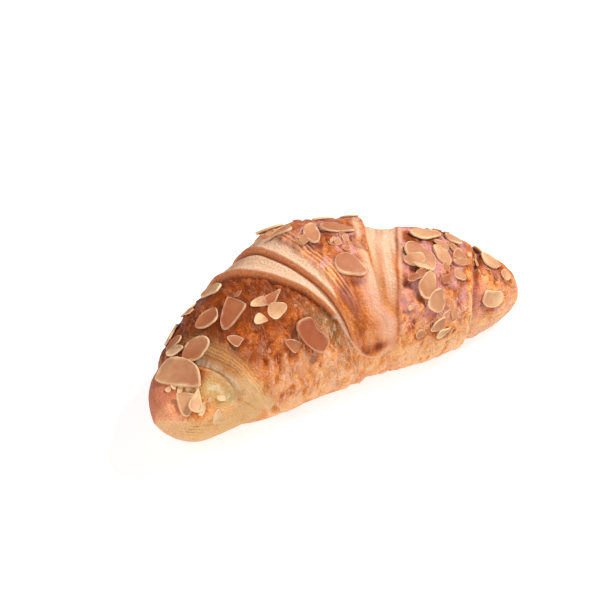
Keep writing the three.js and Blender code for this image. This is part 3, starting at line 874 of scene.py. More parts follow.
def roll_noise(tree, cell, detail):
    """A noise on the roll whose cells are cell[0] mm along it and cell[1] mm round it."""
    on_roll = add_node(tree, "ShaderNodeAttribute", {}, attribute_name="roll").outputs["Vector"]
    scale = (1 / cell[0], 1 / cell[1], 1.0)
    scaled = add_node(tree, "ShaderNodeMapping", {"Vector": on_roll, "Scale": scale}).outputs["Vector"]
    return add_node(tree, "ShaderNodeTexNoise", {
        "Vector": scaled, "Scale": 1.0, "Detail": detail, "Distortion": LINE_DISTORTION,
    }).outputs["Fac"]


def eased(tree, value, start, end):
    """A value eased from 0 at the start to 1 at the end."""
    inputs = {"Value": value, "From Min": start, "From Max": end}
    return add_node(tree, "ShaderNodeMapRange", inputs, interpolation_type="SMOOTHSTEP").outputs["Result"]


def broken_lines(tree, cell, half_width, break_cell, mask):
    """Thin lines where a noise is halfway, broken up by a second noise and kept to where the mask is."""
    from_crest = math_node(tree, "SUBTRACT", roll_noise(tree, cell, LINE_DETAIL), HALFWAY)
    line = eased(tree, math_node(tree, "ABSOLUTE", from_crest, 0.0), half_width, 0.0)
    unbroken = eased(tree, roll_noise(tree, break_cell, 0.0), *LINE_GAPS)
    broken = math_node(tree, "MULTIPLY", line, unbroken)
    return math_node(tree, "MULTIPLY", broken, value_on_mesh(tree, mask))


WRINKLE_LINE, LINE_HALF_WIDTH, LINE_BREAK = (2.3, 6.0), 0.09, (4.0, 5.0)
DARK_LINE, DARK_HALF_WIDTH, DARK_BREAK = (3.1, 4.3), 0.05, (5.0, 4.0)

tree, crust_material = new_material("crust")
line = broken_lines(tree, WRINKLE_LINE, LINE_HALF_WIDTH, LINE_BREAK, "crisp")
dark_line = broken_lines(tree, DARK_LINE, DARK_HALF_WIDTH, DARK_BREAK, "dark_lines")
print("nodes for the two kinds of line:", len(tree.nodes))

# %% [markdown]
# ## The crust's colours
#
# Baked crust runs from pale straw over golden orange to deep brown. The stored browning, shaken a little
# by the fine mottling and darkened by the glaze and painted shade beside the slices, picks its colour
# from a ramp. The peach strokes, pale crests with painted highlight, the pink glaze, the pale layers, the
# moist dough and the white crumb are mixed over it, one after the other, each by its stored value. A
# painted texture would do as well, but it would have to be painted again after every change of the
# shape.

# %% Crust colours
CRUST_STOPS = [
    (0.0, (0.94, 0.53, 0.25)),
    (0.2, (0.84, 0.34, 0.11)),
    (0.45, (0.60, 0.165, 0.028)),
    (0.7, (0.38, 0.075, 0.010)),
    (1.0, (0.20, 0.036, 0.006)),
]
PALE_LAYER = (0.71, 0.39, 0.20)
PALE_CREAM = (0.82, 0.58, 0.43)
MOIST_DOUGH = (0.52, 0.35, 0.13)
CRUMB_WHITE = (0.74, 0.62, 0.42)
PINK_GLAZE = (0.73, 0.33, 0.30)
PEACH_CREST_HIGHLIGHT = (0.90, 0.50, 0.33)
GLAZE_SHARE, STROKE_SHARE, LINE_SHARE, POOLED_GLAZE_AND_SHADE_SHARE, DARK_SHARE = 0.8, 0.5, 0.7, 0.36, 0.35
GRAIN_SCALE, GRAIN_SHARE = 1300.0, 0.3

grain = mottle(tree, GRAIN_SCALE)
shaken = math_node(tree, "MULTIPLY_ADD", grain, GRAIN_SHARE, -GRAIN_SHARE / 2)
# syrup beside the slices and painted shade along their lower left side, added to the browning
pooled_glaze_and_shade = math_node(tree, "MULTIPLY", value_on_mesh(tree, "pooled_glaze_and_shade"), POOLED_GLAZE_AND_SHADE_SHARE)
browning = math_node(tree, "ADD", value_on_mesh(tree, "brown"), math_node(tree, "ADD", shaken, pooled_glaze_and_shade))
browning = math_node(tree, "ADD", browning, math_node(tree, "MULTIPLY", dark_line, DARK_SHARE))
# peach strokes and lines: pale crests with a painted highlight
crest_highlight_share = math_node(tree, "MULTIPLY", value_on_mesh(tree, "stroke"), STROKE_SHARE)
crest_highlight_share = math_node(tree, "MAXIMUM", crest_highlight_share, math_node(tree, "MULTIPLY", line, LINE_SHARE))
speckled = math_node(tree, "MULTIPLY_ADD", grain, GLAZE_SHARE, GLAZE_SHARE / 2)
glazing = math_node(tree, "MULTIPLY", value_on_mesh(tree, "glaze"), speckled)
layers = mix_colours(tree, grain, PALE_LAYER, PALE_CREAM)
colour = mix_colours(tree, crest_highlight_share, ramp(tree, browning, CRUST_STOPS), PEACH_CREST_HIGHLIGHT)
colour = mix_colours(tree, glazing, colour, PINK_GLAZE)
colour = mix_colours(tree, value_on_mesh(tree, "pale"), colour, layers)
colour = mix_colours(tree, value_on_mesh(tree, "moist"), colour, MOIST_DOUGH)
colour = mix_colours(tree, value_on_mesh(tree, "crumb"), colour, CRUMB_WHITE)
shader = tree.nodes["Principled BSDF"]
tree.links.new(colour, shader.inputs["Base Color"])
print("the crust's material has", len(tree.nodes), "nodes")

# %% [markdown]
# ## The crust's shine
#
# Crust is dull but for its glaze, which shines in small spots where the skin is crisp. A thin coat over
# a rough base gives that, and its weight is the stored gloss. A bump map lets the fine grain and the
# lines catch the light. They are too fine to be modelled.

# %% Crust shine
BUMP_STRENGTH, BUMP_DEPTH = 0.8, 0.0004
CRUST_ROUGHNESS, COAT_ROUGHNESS, CRUST_SPECULAR = 0.55, 0.16, 0.05

bump_height = math_node(tree, "ADD", grain, line)
bump = add_node(tree, "ShaderNodeBump", {
    "Strength": BUMP_STRENGTH, "Distance": BUMP_DEPTH, "Height": bump_height,
})
tree.links.new(bump.outputs["Normal"], shader.inputs["Normal"])
tree.links.new(value_on_mesh(tree, "gloss"), shader.inputs["Coat Weight"])
shader.inputs["Coat Roughness"].default_value = COAT_ROUGHNESS
shader.inputs["Roughness"].default_value = CRUST_ROUGHNESS
shader.inputs["Specular IOR Level"].default_value = CRUST_SPECULAR
crust.data.materials.append(crust_material)
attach(crust, "root")
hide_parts("croissant")
print("crust rides on root, with the material", crust_material.name)

# %% [markdown]
# ## Sliced almonds
#
# A sliced almond is a thin oval with a blunt and a pointed end, and no two are alike: some are bent,
# broken or half. Each kind is one outline with a few numbers, and its reach wavers a little at random.
# Outlines could be traced by hand, but a formula gives as many versions as needed.

# %% Outlines of almond slices
SLICE_SEED = 3
BROKEN_BULGE = 0.12
END_TURN, BEAN_MIDDLE = 0.4, 0.4
OUTLINE_WAVES = {2: 0.05, 3: 0.04, 5: 0.025}
SLICE_KINDS = {
    "egg": dict(taper=0.22),
    "oblong": dict(bean=0.3, square=2.6),
    "drop": dict(taper=0.36, square=2.1),
    "broken": dict(taper=-0.1, cut=0.35),
    "leaf": dict(taper=0.12, square=1.75),
    "moon": dict(bean=0.4, square=2.2),
    "bean": dict(bean=0.75, square=3.6),
    "half": dict(square=2.3, flat=0.4),
    "wedge": dict(taper=0.7, square=2.4),
}
slice_draw = np.random.default_rng(SLICE_SEED)


def filling(values):
    """Values moved and scaled so that they run from -1 to 1."""
    return 2 * (values - values.min()) / (values.max() - values.min()) - 1


def wavering(turn):
    """A factor for the outline's reach that swings a little round the slice."""
    starts = slice_draw.uniform(0, 2 * math.pi, len(OUTLINE_WAVES))
    waves = zip(OUTLINE_WAVES.items(), starts)
    return 1 + sum(size * np.sin(count * turn + start) for (count, size), start in waves)


def oval(turn, taper=0.0, bean=0.0, cut=1.0, square=2.0, flat=1.0):
    """A slice's outline in its own half-lengths.

    Square makes it blunter, taper points it and bean bends it. Cut breaks an end off, and flat presses one
    side in.
    """
    along = np.sign(np.cos(turn)) * np.abs(np.cos(turn)) ** (2 / square)
    across = np.sign(np.sin(turn)) * np.abs(np.sin(turn)) ** (2 / square)
    across = np.where(across < 0, flat, 1) * across * (1 - taper * along)
    bent_along = along * (1 - END_TURN * bean * across)
    bent_across = across + bean * (along**2 - BEAN_MIDDLE)
    reach = wavering(turn)
    kept = np.where(bent_along > cut, cut + BROKEN_BULGE * (bent_along - cut), bent_along)
    return filling(kept * reach), filling(bent_across * reach)


print(len(SLICE_KINDS), "kinds of slice:", ", ".join(SLICE_KINDS))

# %% [markdown]
# ## Modelling the slices
#
# A circle is drawn into the outline, and its face is inset twice and lowered each time, which dishes it.
# A solidify modifier thickens it and a bevel rounds its rim. How near each vertex is to the rim is kept
# for the material, because the cut rim stays pale. Extruding and rounding by hand would give the same
# slice, in more steps.

# %% Almond slices
SLICE_CORNERS, SLICE_VERSIONS = 28, 2
SLICE_LENGTH, SLICE_ASPECT, SLICE_THICKNESS = 13.0, 0.66, 0.9
SLICE_WIDTH = SLICE_LENGTH * SLICE_ASPECT
SLICE_INSETS, DISH = (0.35, 0.8), 0.14
SLICE_RIM, RIM_SEGMENTS, RIM_ANGLE = 0.25, 2, 40
RIM_FADE, FADE_MEAN, FADE_LEAST, FADE_GRAIN, FADE_LAYERS = (0.1, 0.55), 0.9, 0.3, 3.0, 9
OUTLINE_PARTS = (0, 0.25, 0.5, 0.75)


def rim_share(points, outline):
    """1 at the outline, falling to 0 inside it, unevenly."""
    towards_next = np.roll(outline, -1, axis=0) - outline
    outline = np.concatenate([outline + part * towards_next for part in OUTLINE_PARTS])
    inside = np.linalg.norm(points[:, None, :2] - outline[None], axis=2).min(axis=1)
    layer = np.full(len(points), slice_draw.uniform(0, FADE_LAYERS))
    uneven = FADE_MEAN + FADE_MEAN * noise(np.column_stack([points[:, :2] / FADE_GRAIN, layer]))
    return 1 - smooth_step(inside * np.maximum(uneven, FADE_LEAST), *RIM_FADE)


def model_slice(kind):
    """A slice's vertices in mm, its faces, and how far each vertex belongs to the cut rim."""
    bpy.ops.object.select_all(action="DESELECT")
    bpy.ops.mesh.primitive_circle_add(vertices=SLICE_CORNERS, radius=1, fill_type="NGON")
    piece = bpy.context.object
    turn = np.array([math.atan2(v.co.y, v.co.x) for v in piece.data.vertices])
    along, across = oval(turn, **SLICE_KINDS[kind])
    outline = np.stack([along * SLICE_LENGTH, across * SLICE_WIDTH], axis=1) / 2
    for vertex, (x, y) in zip(piece.data.vertices, outline):
        vertex.co = (x * MM, y * MM, 0)
    bpy.ops.object.mode_set(mode="EDIT")
    bpy.ops.mesh.select_all(action="SELECT")
    for inset in SLICE_INSETS:
        bpy.ops.mesh.inset(thickness=inset * MM, use_even_offset=False)
        bpy.ops.transform.translate(value=(0, 0, -DISH * MM))
    bpy.ops.object.mode_set(mode="OBJECT")
    body = piece.modifiers.new("body", "SOLIDIFY")
    body.thickness, body.offset = SLICE_THICKNESS * MM, 0
    bpy.ops.object.modifier_apply(modifier="body")
    rim = piece.modifiers.new("rim", "BEVEL")
    rim.width, rim.segments = SLICE_RIM * MM, RIM_SEGMENTS
    rim.limit_method, rim.angle_limit = "ANGLE", math.radians(RIM_ANGLE)
    bpy.ops.object.modifier_apply(modifier="rim")
    points = np.array([v.co[:] for v in piece.data.vertices]) / MM
    faces = [tuple(p.vertices) for p in piece.data.polygons]
    bpy.data.objects.remove(piece)
    return points, faces, rim_share(points, outline)


slices = {(kind, i): model_slice(kind) for kind in SLICE_KINDS for i in range(SLICE_VERSIONS)}
print(len(slices), "slices, of", max(len(faces) for _, faces, _ in slices.values()), "faces at most")

# %% [markdown]
# ## Almonds that can be seen
#
# The slices that can be seen are placed one by one, at an x and an angle on the roll: each with its
# length and width, its turn, its kind and how toasted it is. Smaller broken ones lie among them. Listing
# them like this is more work than strewing them, but puts each where it belongs.

# %% Almonds that can be seen
Flake = namedtuple("Flake", "x angle length width turn kind toast")
PLACED = [
    Flake(-2, 57, 13.3, 9.2, -38, "egg", 0.65),
    Flake(-24, 26, 16, 8.5, -66, "bean", 1.00),
    Flake(1.5, 90, 14.5, 8, -3, "drop", 0.65),
    Flake(-9.5, 89, 12, 6.4, 62, "egg", 0.45),
    Flake(39.5, 88, 16, 7.5, 10, "egg", 0.30),
    Flake(30.5, 61, 14.7, 9, -39, "oblong", 0.45),
    Flake(27, 58, 8.8, 5, -3, "moon", 0.40),
    Flake(41.5, 64, 10, 6.8, -48, "leaf", 0.30),
    Flake(29, 38, 11, 9, 61, "drop", 0.40),
    Flake(31.5, 26, 9.5, 8.2, 80, "egg", 0.35),
    Flake(31.5, 6, 6.8, 5.5, 14, "broken", 0.40),
    Flake(34, -1, 6.5, 3.8, 15, "wedge", 0.10),
    Flake(46.5, 45, 6, 4.6, -40, "egg", 0.40),
    Flake(67.5, 74, 10.5, 7.5, -9, "drop", 0.25),
    Flake(62, 19, 12.5, 6.8, -9, "oblong", 0.20),
    Flake(-65, 83, 12.4, 8.5, -19, "leaf", 0.60),
    Flake(-72.5, 83, 19, 11, -74, "half", 0.42),
    Flake(-76.3, 38, 8.6, 6.5, 61, "broken", 0.28),
    Flake(-72, 35, 8.8, 5.5, 46, "wedge", 0.15),
    Flake(-65.5, 0, 6.6, 3.4, 78, "drop", 0.05),
    Flake(-34, 53, 7.6, 6.4, -15, "egg", 0.20),
    Flake(-39.5, 67, 6, 4.2, -25, "broken", 0.25),
    Flake(-33.5, 63, 8.4, 4.6, 7, "wedge", 0.80),
    # this slice is toasted darker partly as painted shade
    Flake(-50, 77, 12.7, 8.3, 14, "broken", 0.90),
    Flake(-56.5, 93, 10.5, 8, 3, "leaf", 0.80),
]
BITS = [
    Flake(23.5, 3, 4, 3.8, 0, "egg", 0.45),
    Flake(20, 23.5, 2.4, 2, 0, "egg", 0.10),
    Flake(72.5, 54, 6.2, 4.4, -10, "leaf", 0.25),
    Flake(43, 75, 7, 4, -25, "broken", 0.50),
    Flake(49, 73, 8, 4, -33, "leaf", 0.60),
    Flake(50, 64, 7, 4.3, -37, "wedge", 0.45),
    Flake(26, 46, 6.5, 3, 35, "leaf", 0.75),
    Flake(39, 41.5, 6.5, 3, -37, "leaf", 0.65),
    Flake(49, 57.5, 8, 2.5, 0, "moon", 0.45),
    Flake(28.5, 52, 8.4, 1.8, -20, "leaf", 0.05),
    Flake(-32.5, 27, 6.6, 4.4, -58, "broken", 0.70),
    Flake(-69.6, 105, 10, 5, -77, "leaf", 0.15),
    Flake(-71, 21, 5.2, 2.3, 52, "drop", 0.05),
    Flake(-63, 20, 3.8, 2, -38, "moon", 0.00),
    Flake(-41, 55, 5, 4.4, -52, "wedge", 0.10),
    Flake(-52.5, 58, 5.6, 4.1, -79, "broken", 0.60),
    Flake(-79, 82, 2.6, 2, 10, "egg", 0.10),
    Flake(-77, 76, 2.4, 1.8, 60, "broken", 0.05),
    Flake(-75.5, 65, 3, 2, 30, "oblong", 0.10),
    Flake(-72.5, 56, 3, 2, -20, "egg", 0.05),
    Flake(-70, 51, 2.6, 1.8, 40, "broken", 0.15),
    Flake(23, 44, 5, 2.6, 20, "leaf", 0.80),
    Flake(39, 42, 5.5, 3, 30, "wedge", 0.80),
]
print(len(PLACED), "slices and", len(BITS), "smaller ones are placed one by one")

# %% [markdown]
# ## Almonds spread by a rule
#
# The top and the back carry more slices than can be seen one by one. A row of numbers that fills the
# crest and the back evenly gives the places. A place is used where there is room between the others, and
# where it isn't on the treads or the band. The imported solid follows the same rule, so both have the same
# slices.

# %% Almonds spread by a rule
STREWN_TRIES, STREWN_SEED = 90, 20531
STREWN_X, STREWN_ANGLE = (-74, 72), (74, 158)
STREWN_LENGTH, STREWN_SLENDERNESS, STREWN_TOAST = (7.5, 14), (0.55, 0.78), (0.2, 0.7)
STREWN_KINDS = ["egg", "oblong", "drop", "broken", "leaf", "moon", "wedge"]
SPREAD_STEP_X, SPREAD_STEP_ANGLE, SPREAD_STEP_TOAST = 0.7548776662, 0.569840291, 0.618
DRAW_FACTOR, DRAW_MODULUS = 16807, 2147483647
SPACING = 0.56
BARE_MARGIN = 3


def between(ends, share):
    return ends[0] + (ends[1] - ends[0]) * share


def point_at(x, angle):
    return skin_at(np.array([float(x)]), np.array([float(angle)]))[0]


def drawing(seed):
    """Numbers from 0 to 1 that repeat alike."""
    state = seed
    while True:
        state = state * DRAW_FACTOR % DRAW_MODULUS
        yield state / DRAW_MODULUS


def on_bare_zone(x, angle):
    """Whether a place is on the treads or the band, which stay free of almonds."""
    edge = {name: float(value) for name, value in edges_at(np.array(angle)).items()}
    on_treads = edge["low"] - BARE_MARGIN < x < edge["wrap_left"] + BARE_MARGIN
    on_band = edge["wrap_right"] - BARE_MARGIN < x < edge["band_right"] + BARE_MARGIN
    return on_treads or on_band


def strewn_flakes():
    taken = [(point_at(flake.x, flake.angle), flake.length) for flake in PLACED]
    draw = drawing(STREWN_SEED)
    strewn = []
    for i in range(1, STREWN_TRIES + 1):
        x = between(STREWN_X, i * SPREAD_STEP_X % 1)
        angle = between(STREWN_ANGLE, i * SPREAD_STEP_ANGLE % 1)
        length = between(STREWN_LENGTH, next(draw) ** 2)
        width = length * between(STREWN_SLENDERNESS, next(draw))
        turn = HALF_TURN * next(draw)
        point = point_at(x, angle)
        free = all(np.linalg.norm(point - other) > SPACING * (length + reach) for other, reach in taken)
        if free and not on_bare_zone(x, angle):
            taken.append((point, length))
            kind = STREWN_KINDS[i % len(STREWN_KINDS)]
            toast = between(STREWN_TOAST, i * SPREAD_STEP_TOAST % 1)
            strewn.append(Flake(x, angle, length, width, turn, kind, toast))
    return strewn


flakes = PLACED + strewn_flakes() + BITS
print(len(flakes), "almond slices")

# %% [markdown]
# ## Places on the roll
#
# To lay an almond on the crust by hand, one would snap it to a face and turn it there. Here it takes a
# point of the skin, the directions along, round and out of the roll at that point, and how many degrees
# one millimetre is. It also has to be known how far a place is outside a slice's outline. All come from
# the roll's own numbers, so no mesh has to be searched.

# %% Places on the roll
PROBE_X, PROBE_ANGLE = 3, 6


def local_frame(x, angle):
    """A point of the skin, unit vectors along, round and out of the roll there, and degrees per mm."""
    spots_x = np.array([x, x + PROBE_X, x - PROBE_X, x, x], float)
    spots_angle = np.array([angle, angle, angle, angle + PROBE_ANGLE, angle - PROBE_ANGLE], float)
    point, ahead, behind, over, under = skin_at(spots_x, spots_angle)
    forward = (ahead - behind) / np.linalg.norm(ahead - behind)
    outward = np.cross(forward, over - under)
    outward = outward / np.linalg.norm(outward)
    degrees_per_mm = 2 * PROBE_ANGLE / np.linalg.norm(over - under)
    return point, forward, np.cross(outward, forward), outward, degrees_per_mm


def turned(vector, other, degrees):
    """Two unit vectors turned together in their own plane."""
    cosine, sine = math.cos(math.radians(degrees)), math.sin(math.radians(degrees))
    return cosine * vector + sine * other, cosine * other - sine * vector


def oval_distance(flake, right, over):
    """About how far, in mm, a spot that lies right and over of a slice's middle is outside its outline."""
    turn = math.radians(flake.turn)
    along = (right * math.cos(turn) + over * math.sin(turn)) / (flake.length / 2)
    across = (over * math.cos(turn) - right * math.sin(turn)) / (flake.width / 2)
    return (np.hypot(along, across) - 1) * flake.width / 2


def outside_of(flake, x, angle, degrees_per_mm):
    """About how far, in mm, places on the roll are outside a slice's outline."""
    return oval_distance(flake, x - flake.x, (angle - flake.angle) / degrees_per_mm)


print("degrees per mm on top:", local_frame(0, TOP_ANGLE)[-1].round(2))

# %% [markdown]
# ## Laying one slice down
#
# A slice rests on the highest bumps under it, or on the slices that lie there already. A shrinkwrap
# modifier would press it flat onto the skin, but a real slice is stiff. So the skin is probed at spots
# on rings about the slice's middle. A spot that an earlier slice covers moves out to that slice's top. A
# plane with a little bend is fitted through the spots, no steeper than an almond would lie. The slice is
# tilted at random, so that one edge stands off and throws a shadow, and lifted until nearly all bumps
# are below it.

# %% Laying one slice down
FOLLOW, MOST_SLOPE, MOST_BEND = 0.7, 0.3, 0.03
SINK, BUMPS_BELOW = 0.2, 96
STEADY_HALF, LEAST_STACKED = 4.0, 3.5
CURL = (-0.002, 0.010)
FOOT_RADII, FOOT_SPOKES = (0, 0.45, 0.85), 8
FOOTPRINT = np.array([
    (radius * math.cos(turn), radius * math.sin(turn))
    for radius in FOOT_RADII
    for turn in np.arange(FOOT_SPOKES) * 2 * math.pi / FOOT_SPOKES
])
LAY_SEED = 7
Laid = namedtuple("Laid", "flake place along across outward top slope curve")
lay_draw = np.random.default_rng(LAY_SEED)
laid_slices = []


def top_of(laid, spots):
    """The points of a laid slice's upper face that are straight out of spots on the skin."""
    along, across = (spots - laid.place) @ laid.along, (spots - laid.place) @ laid.across
    flat = np.stack([along, across], axis=1)
    rise = laid.top + flat @ laid.slope + flat**2 @ laid.curve
    level = laid.place + np.outer(along, laid.along) + np.outer(across, laid.across)
    return level + np.outer(rise, laid.outward)


def with_slices(spots, x, angle, degrees_per_mm):
    """Spots on the skin, moved out to the top of the slices that lie there already."""
    for laid in laid_slices:
        over = top_of(laid, spots)
        under_slice = outside_of(laid.flake, x, angle, degrees_per_mm) < 0
        covered = under_slice & ((over - spots) @ laid.outward > 0)
        spots = np.where(covered[:, None], over, spots)
    return spots


def lay_slice(points, flake, most_tilt):
    """Points of a slice, given flat at its true size, laid on the skin's bumps, and how it lies."""
    place, forward, around, outward, degrees_per_mm = local_frame(flake.x, flake.angle)
    along, across = turned(forward, around, flake.turn)
    half_size = np.abs(points[:, :2]).max(axis=0)
    foot = FOOTPRINT * half_size
    foot_x = flake.x + foot @ (np.dot(along, forward), np.dot(across, forward))
    foot_over = foot @ (np.dot(along, around), np.dot(across, around))
    foot_angle = flake.angle + degrees_per_mm * foot_over
    bumps, _ = baked_relief(foot_x, foot_angle)
    spots = skin_at(foot_x, foot_angle, bumps)
    if flake.length > LEAST_STACKED:
        spots = with_slices(spots, foot_x, foot_angle, degrees_per_mm)
    height = (spots - place) @ outward
    shape = np.column_stack([np.ones(len(foot)), foot, foot**2])
    fit = np.linalg.lstsq(shape, height, rcond=None)[0]
    fit[1:3] = np.clip(fit[1:3], -MOST_SLOPE, MOST_SLOPE)
    fit[3:] = np.clip(FOLLOW * fit[3:], -MOST_BEND, 0.0)
    gap = height - shape @ fit
    steadiness = np.maximum(1, half_size / STEADY_HALF)
    tilt = np.tan(np.radians(lay_draw.uniform(-most_tilt, most_tilt, 2))) / steadiness
    curl = lay_draw.uniform(*CURL)
    level = fit[0] + np.percentile(gap, BUMPS_BELOW) - SINK - points[:, 2].min()
    slope, curve = fit[1:3] + tilt, fit[3:] + curl
    rise = points[:, 2] + level + points[:, :2] @ slope + points[:, :2] ** 2 @ curve
    laid = place + np.outer(points[:, 0], along) + np.outer(points[:, 1], across)
    laid = laid + np.outer(rise, outward)
    return laid, Laid(flake, place, along, across, outward, level + points[:, 2].max(), slope, curve)


print("a slice is fitted to", len(FOOTPRINT), "spots")

# %% [markdown]
# ## The almonds' mesh
#
# All slices go into one mesh, which keeps the number of pieces small. Each is a copy of a modelled
# slice, sized, laid and given its own toasting, which drifts from one side to the other. The rim's
# paleness and the toasting are stored on the mesh for the material. Joining copied objects would do the
# same, more slowly.

# %% The almonds' mesh
MOST_TILT, SMOOTH_ANGLE = 6.0, 35
THINNEST, FULL_THICKNESS_LENGTH = 0.55, 10.0
TOAST_DRIFT, RIM_SHARE, TOASTED_RIM = 0.16, 0.95, 0.5
RIM_GRAIN, RIM_LAYER, RIM_MEAN, RIM_SWING, RIM_LEAST = 3.0, 17.0, 0.75, 0.6, 0.25


def joined_piece(name, bodies):
    """One mesh object from (points in mm, faces, values) triples; the values become attributes."""
    vertices, faces, values = [], [], {}
    for points, body_faces, body_values in bodies:
        offset = sum(len(block) for block in vertices)
        vertices.append(points)
        faces += [tuple(index + offset for index in face) for face in body_faces]
        for key, value in body_values.items():
            values.setdefault(key, []).append(np.broadcast_to(value, len(points)))
    mesh = bpy.data.meshes.new(name)
    mesh.from_pydata((np.concatenate(vertices) + SHIFT) * MM, [], faces)
    piece = bpy.data.objects.new(name, mesh)
    bpy.context.collection.objects.link(piece)
    for key, blocks in values.items():
        store(piece, key, np.concatenate(blocks))
    return piece


bodies = []
for i, flake in enumerate(flakes):
    points, faces, rim = slices[flake.kind, i % SLICE_VERSIONS]
    thickness = np.clip(flake.length / FULL_THICKNESS_LENGTH, THINNEST, 1)
    sized = points * (flake.length / SLICE_LENGTH, flake.width / SLICE_WIDTH, thickness)
    laid, lying = lay_slice(sized, flake, MOST_TILT)
    laid_slices.append(lying)
    drift = lay_draw.normal(size=2)
    darker = points[:, :2] @ (drift / np.linalg.norm(drift)) / (SLICE_LENGTH / 2)
    uneven = np.clip(RIM_MEAN + RIM_SWING * noise(laid / RIM_GRAIN + RIM_LAYER), RIM_LEAST, 1)
    pale_rim = RIM_SHARE * uneven * (1 - TOASTED_RIM * flake.toast**2) * rim
    bodies.append((laid, faces, {"rim": pale_rim, "toast": flake.toast + TOAST_DRIFT * darker}))
almonds = joined_piece("almond_flakes", bodies)
bpy.ops.object.select_all(action="DESELECT")
almonds.select_set(True)
bpy.context.view_layer.objects.active = almonds
bpy.ops.object.shade_smooth_by_angle(angle=math.radians(SMOOTH_ANGLE))
print("almond_flakes:", len(almonds.data.polygons), "faces")

# %% [markdown]
# ## Syrup and shade beside the slices
#
# Under a slice and along its lower left side the crust is darker, from syrup that has crept there and
# from painted shade. It is stored on the crust as one more value, which its material adds to the
# browning. It is weaker on the left cap and shell. Real shadows come from the lights, and this painted
# shade only adds what they leave out.

# %% Syrup and shade beside the slices
SHADE_RIGHT, SHADE_OVER, SHADE_FADE = 0.4, 1.3, (0.0, 1.5)
LESS_ON_CAP, LESS_ON_SHELL = 0.7, 0.4

pooled_glaze_and_shade = np.zeros(len(crust_x))
for flake in flakes:
    degrees_per_mm = local_frame(flake.x, flake.angle)[-1]
    right, over = crust_x - flake.x, (crust_angle - flake.angle) / degrees_per_mm
    near = np.flatnonzero(np.hypot(right, over) < flake.length)
    shade = oval_distance(flake, right[near] + SHADE_RIGHT, over[near] + SHADE_OVER)
    pooled_glaze_and_shade[near] = np.maximum(pooled_glaze_and_shade[near], 1 - smooth_step(shade, *SHADE_FADE))
pooled_glaze_and_shade = pooled_glaze_and_shade * (1 - LESS_ON_CAP * spot["left_cap"] - LESS_ON_SHELL * spot["left_shell"])
store(crust, "pooled_glaze_and_shade", pooled_glaze_and_shade)
print("crust vertices under or beside a slice:", np.count_nonzero(pooled_glaze_and_shade))

# %% [markdown]
# ## The almonds' material
#
# A slice's face toasts from cream to tan or red-brown, and its cut rim stays pale. Both come from the
# stored values, so that one material serves every slice and chip. A material for each degree of toasting
# would be simpler to read, but it couldn't fade within one slice.

# %% Almond material
TOAST_STOPS = [
    (0.0, (0.76, 0.51, 0.28)),
    (0.25, (0.57, 0.285, 0.14)),
    (0.5, (0.47, 0.19, 0.09)),
    (0.75, (0.40, 0.13, 0.052)),
    (1.0, (0.33, 0.082, 0.034)),
]
RIM_CREAM = (0.90, 0.62, 0.36)
ALMOND_GRAIN_SCALE, ALMOND_GRAIN_SHARE = 300.0, 0.2
ALMOND_ROUGHNESS, ALMOND_SPECULAR = 0.55, 0.15

tree, almond_material = new_material("almond")
shader = tree.nodes["Principled BSDF"]
almond_grain = mottle(tree, ALMOND_GRAIN_SCALE)
shaken = math_node(tree, "MULTIPLY_ADD", almond_grain, ALMOND_GRAIN_SHARE, -ALMOND_GRAIN_SHARE / 2)
toasting = math_node(tree, "ADD", value_on_mesh(tree, "toast"), shaken)
colour = mix_colours(tree, value_on_mesh(tree, "rim"), ramp(tree, toasting, TOAST_STOPS), RIM_CREAM)
tree.links.new(colour, shader.inputs["Base Color"])
shader.inputs["Roughness"].default_value = ALMOND_ROUGHNESS
shader.inputs["Specular IOR Level"].default_value = ALMOND_SPECULAR
almonds.data.materials.append(almond_material)
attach(almonds, "root")
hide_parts("croissant")
print("the almonds' material has", len(tree.nodes), "nodes")

# %% [markdown]
# ## Chips and slivers
#
# Slicing almonds leaves broken bits. A few shards, slivers and nibs are modelled with few faces, because
# they are repeated often: a polygon with uneven corners, inset for a pale rim and thickened. They share
# the almonds' material.

# %% Shapes of chips
CHIP_KINDS = {
    "shard": dict(corners=5, slenderness=0.75),
    "splinter": dict(corners=4, slenderness=0.5),
    "sliver": dict(corners=6, slenderness=0.3),
    "nib": dict(corners=7, slenderness=0.85),
    "flat": dict(corners=6, slenderness=0.8),
}
CHIP_LENGTH, CHIP_THICKNESS, CHIP_INSET, CHIP_UNEVEN = 6.0, 0.5, 0.35, (0.6, 1.15)


def model_chip(corners, slenderness):
    """A chip's vertices in mm, its faces, and which vertices are on the rim."""
    bpy.ops.object.select_all(action="DESELECT")
    bpy.ops.mesh.primitive_circle_add(vertices=corners, radius=CHIP_LENGTH / 2 * MM, fill_type="NGON")
    piece = bpy.context.object
    uneven = lay_draw.uniform(*CHIP_UNEVEN, corners)
    for vertex, share in zip(piece.data.vertices, uneven):
        vertex.co = (vertex.co.x * share, vertex.co.y * share * slenderness, 0)
    bpy.ops.object.mode_set(mode="EDIT")
    bpy.ops.mesh.select_all(action="SELECT")
    bpy.ops.mesh.inset(thickness=CHIP_INSET * MM, use_even_offset=False)
    bpy.ops.object.mode_set(mode="OBJECT")
    on_rim = np.arange(len(piece.data.vertices)) < corners
    body = piece.modifiers.new("body", "SOLIDIFY")
    body.thickness, body.offset = CHIP_THICKNESS * MM, 0
    bpy.ops.object.modifier_apply(modifier="body")
    points = np.array([v.co[:] for v in piece.data.vertices]) / MM
    faces = [tuple(p.vertices) for p in piece.data.polygons]
    bpy.data.objects.remove(piece)
    return points, faces, np.tile(on_rim, 2).astype(float)


chips = {kind: model_chip(**shape) for kind, shape in CHIP_KINDS.items()}
print("chips:", {kind: len(faces) for kind, (_, faces, _) in chips.items()}, "faces")

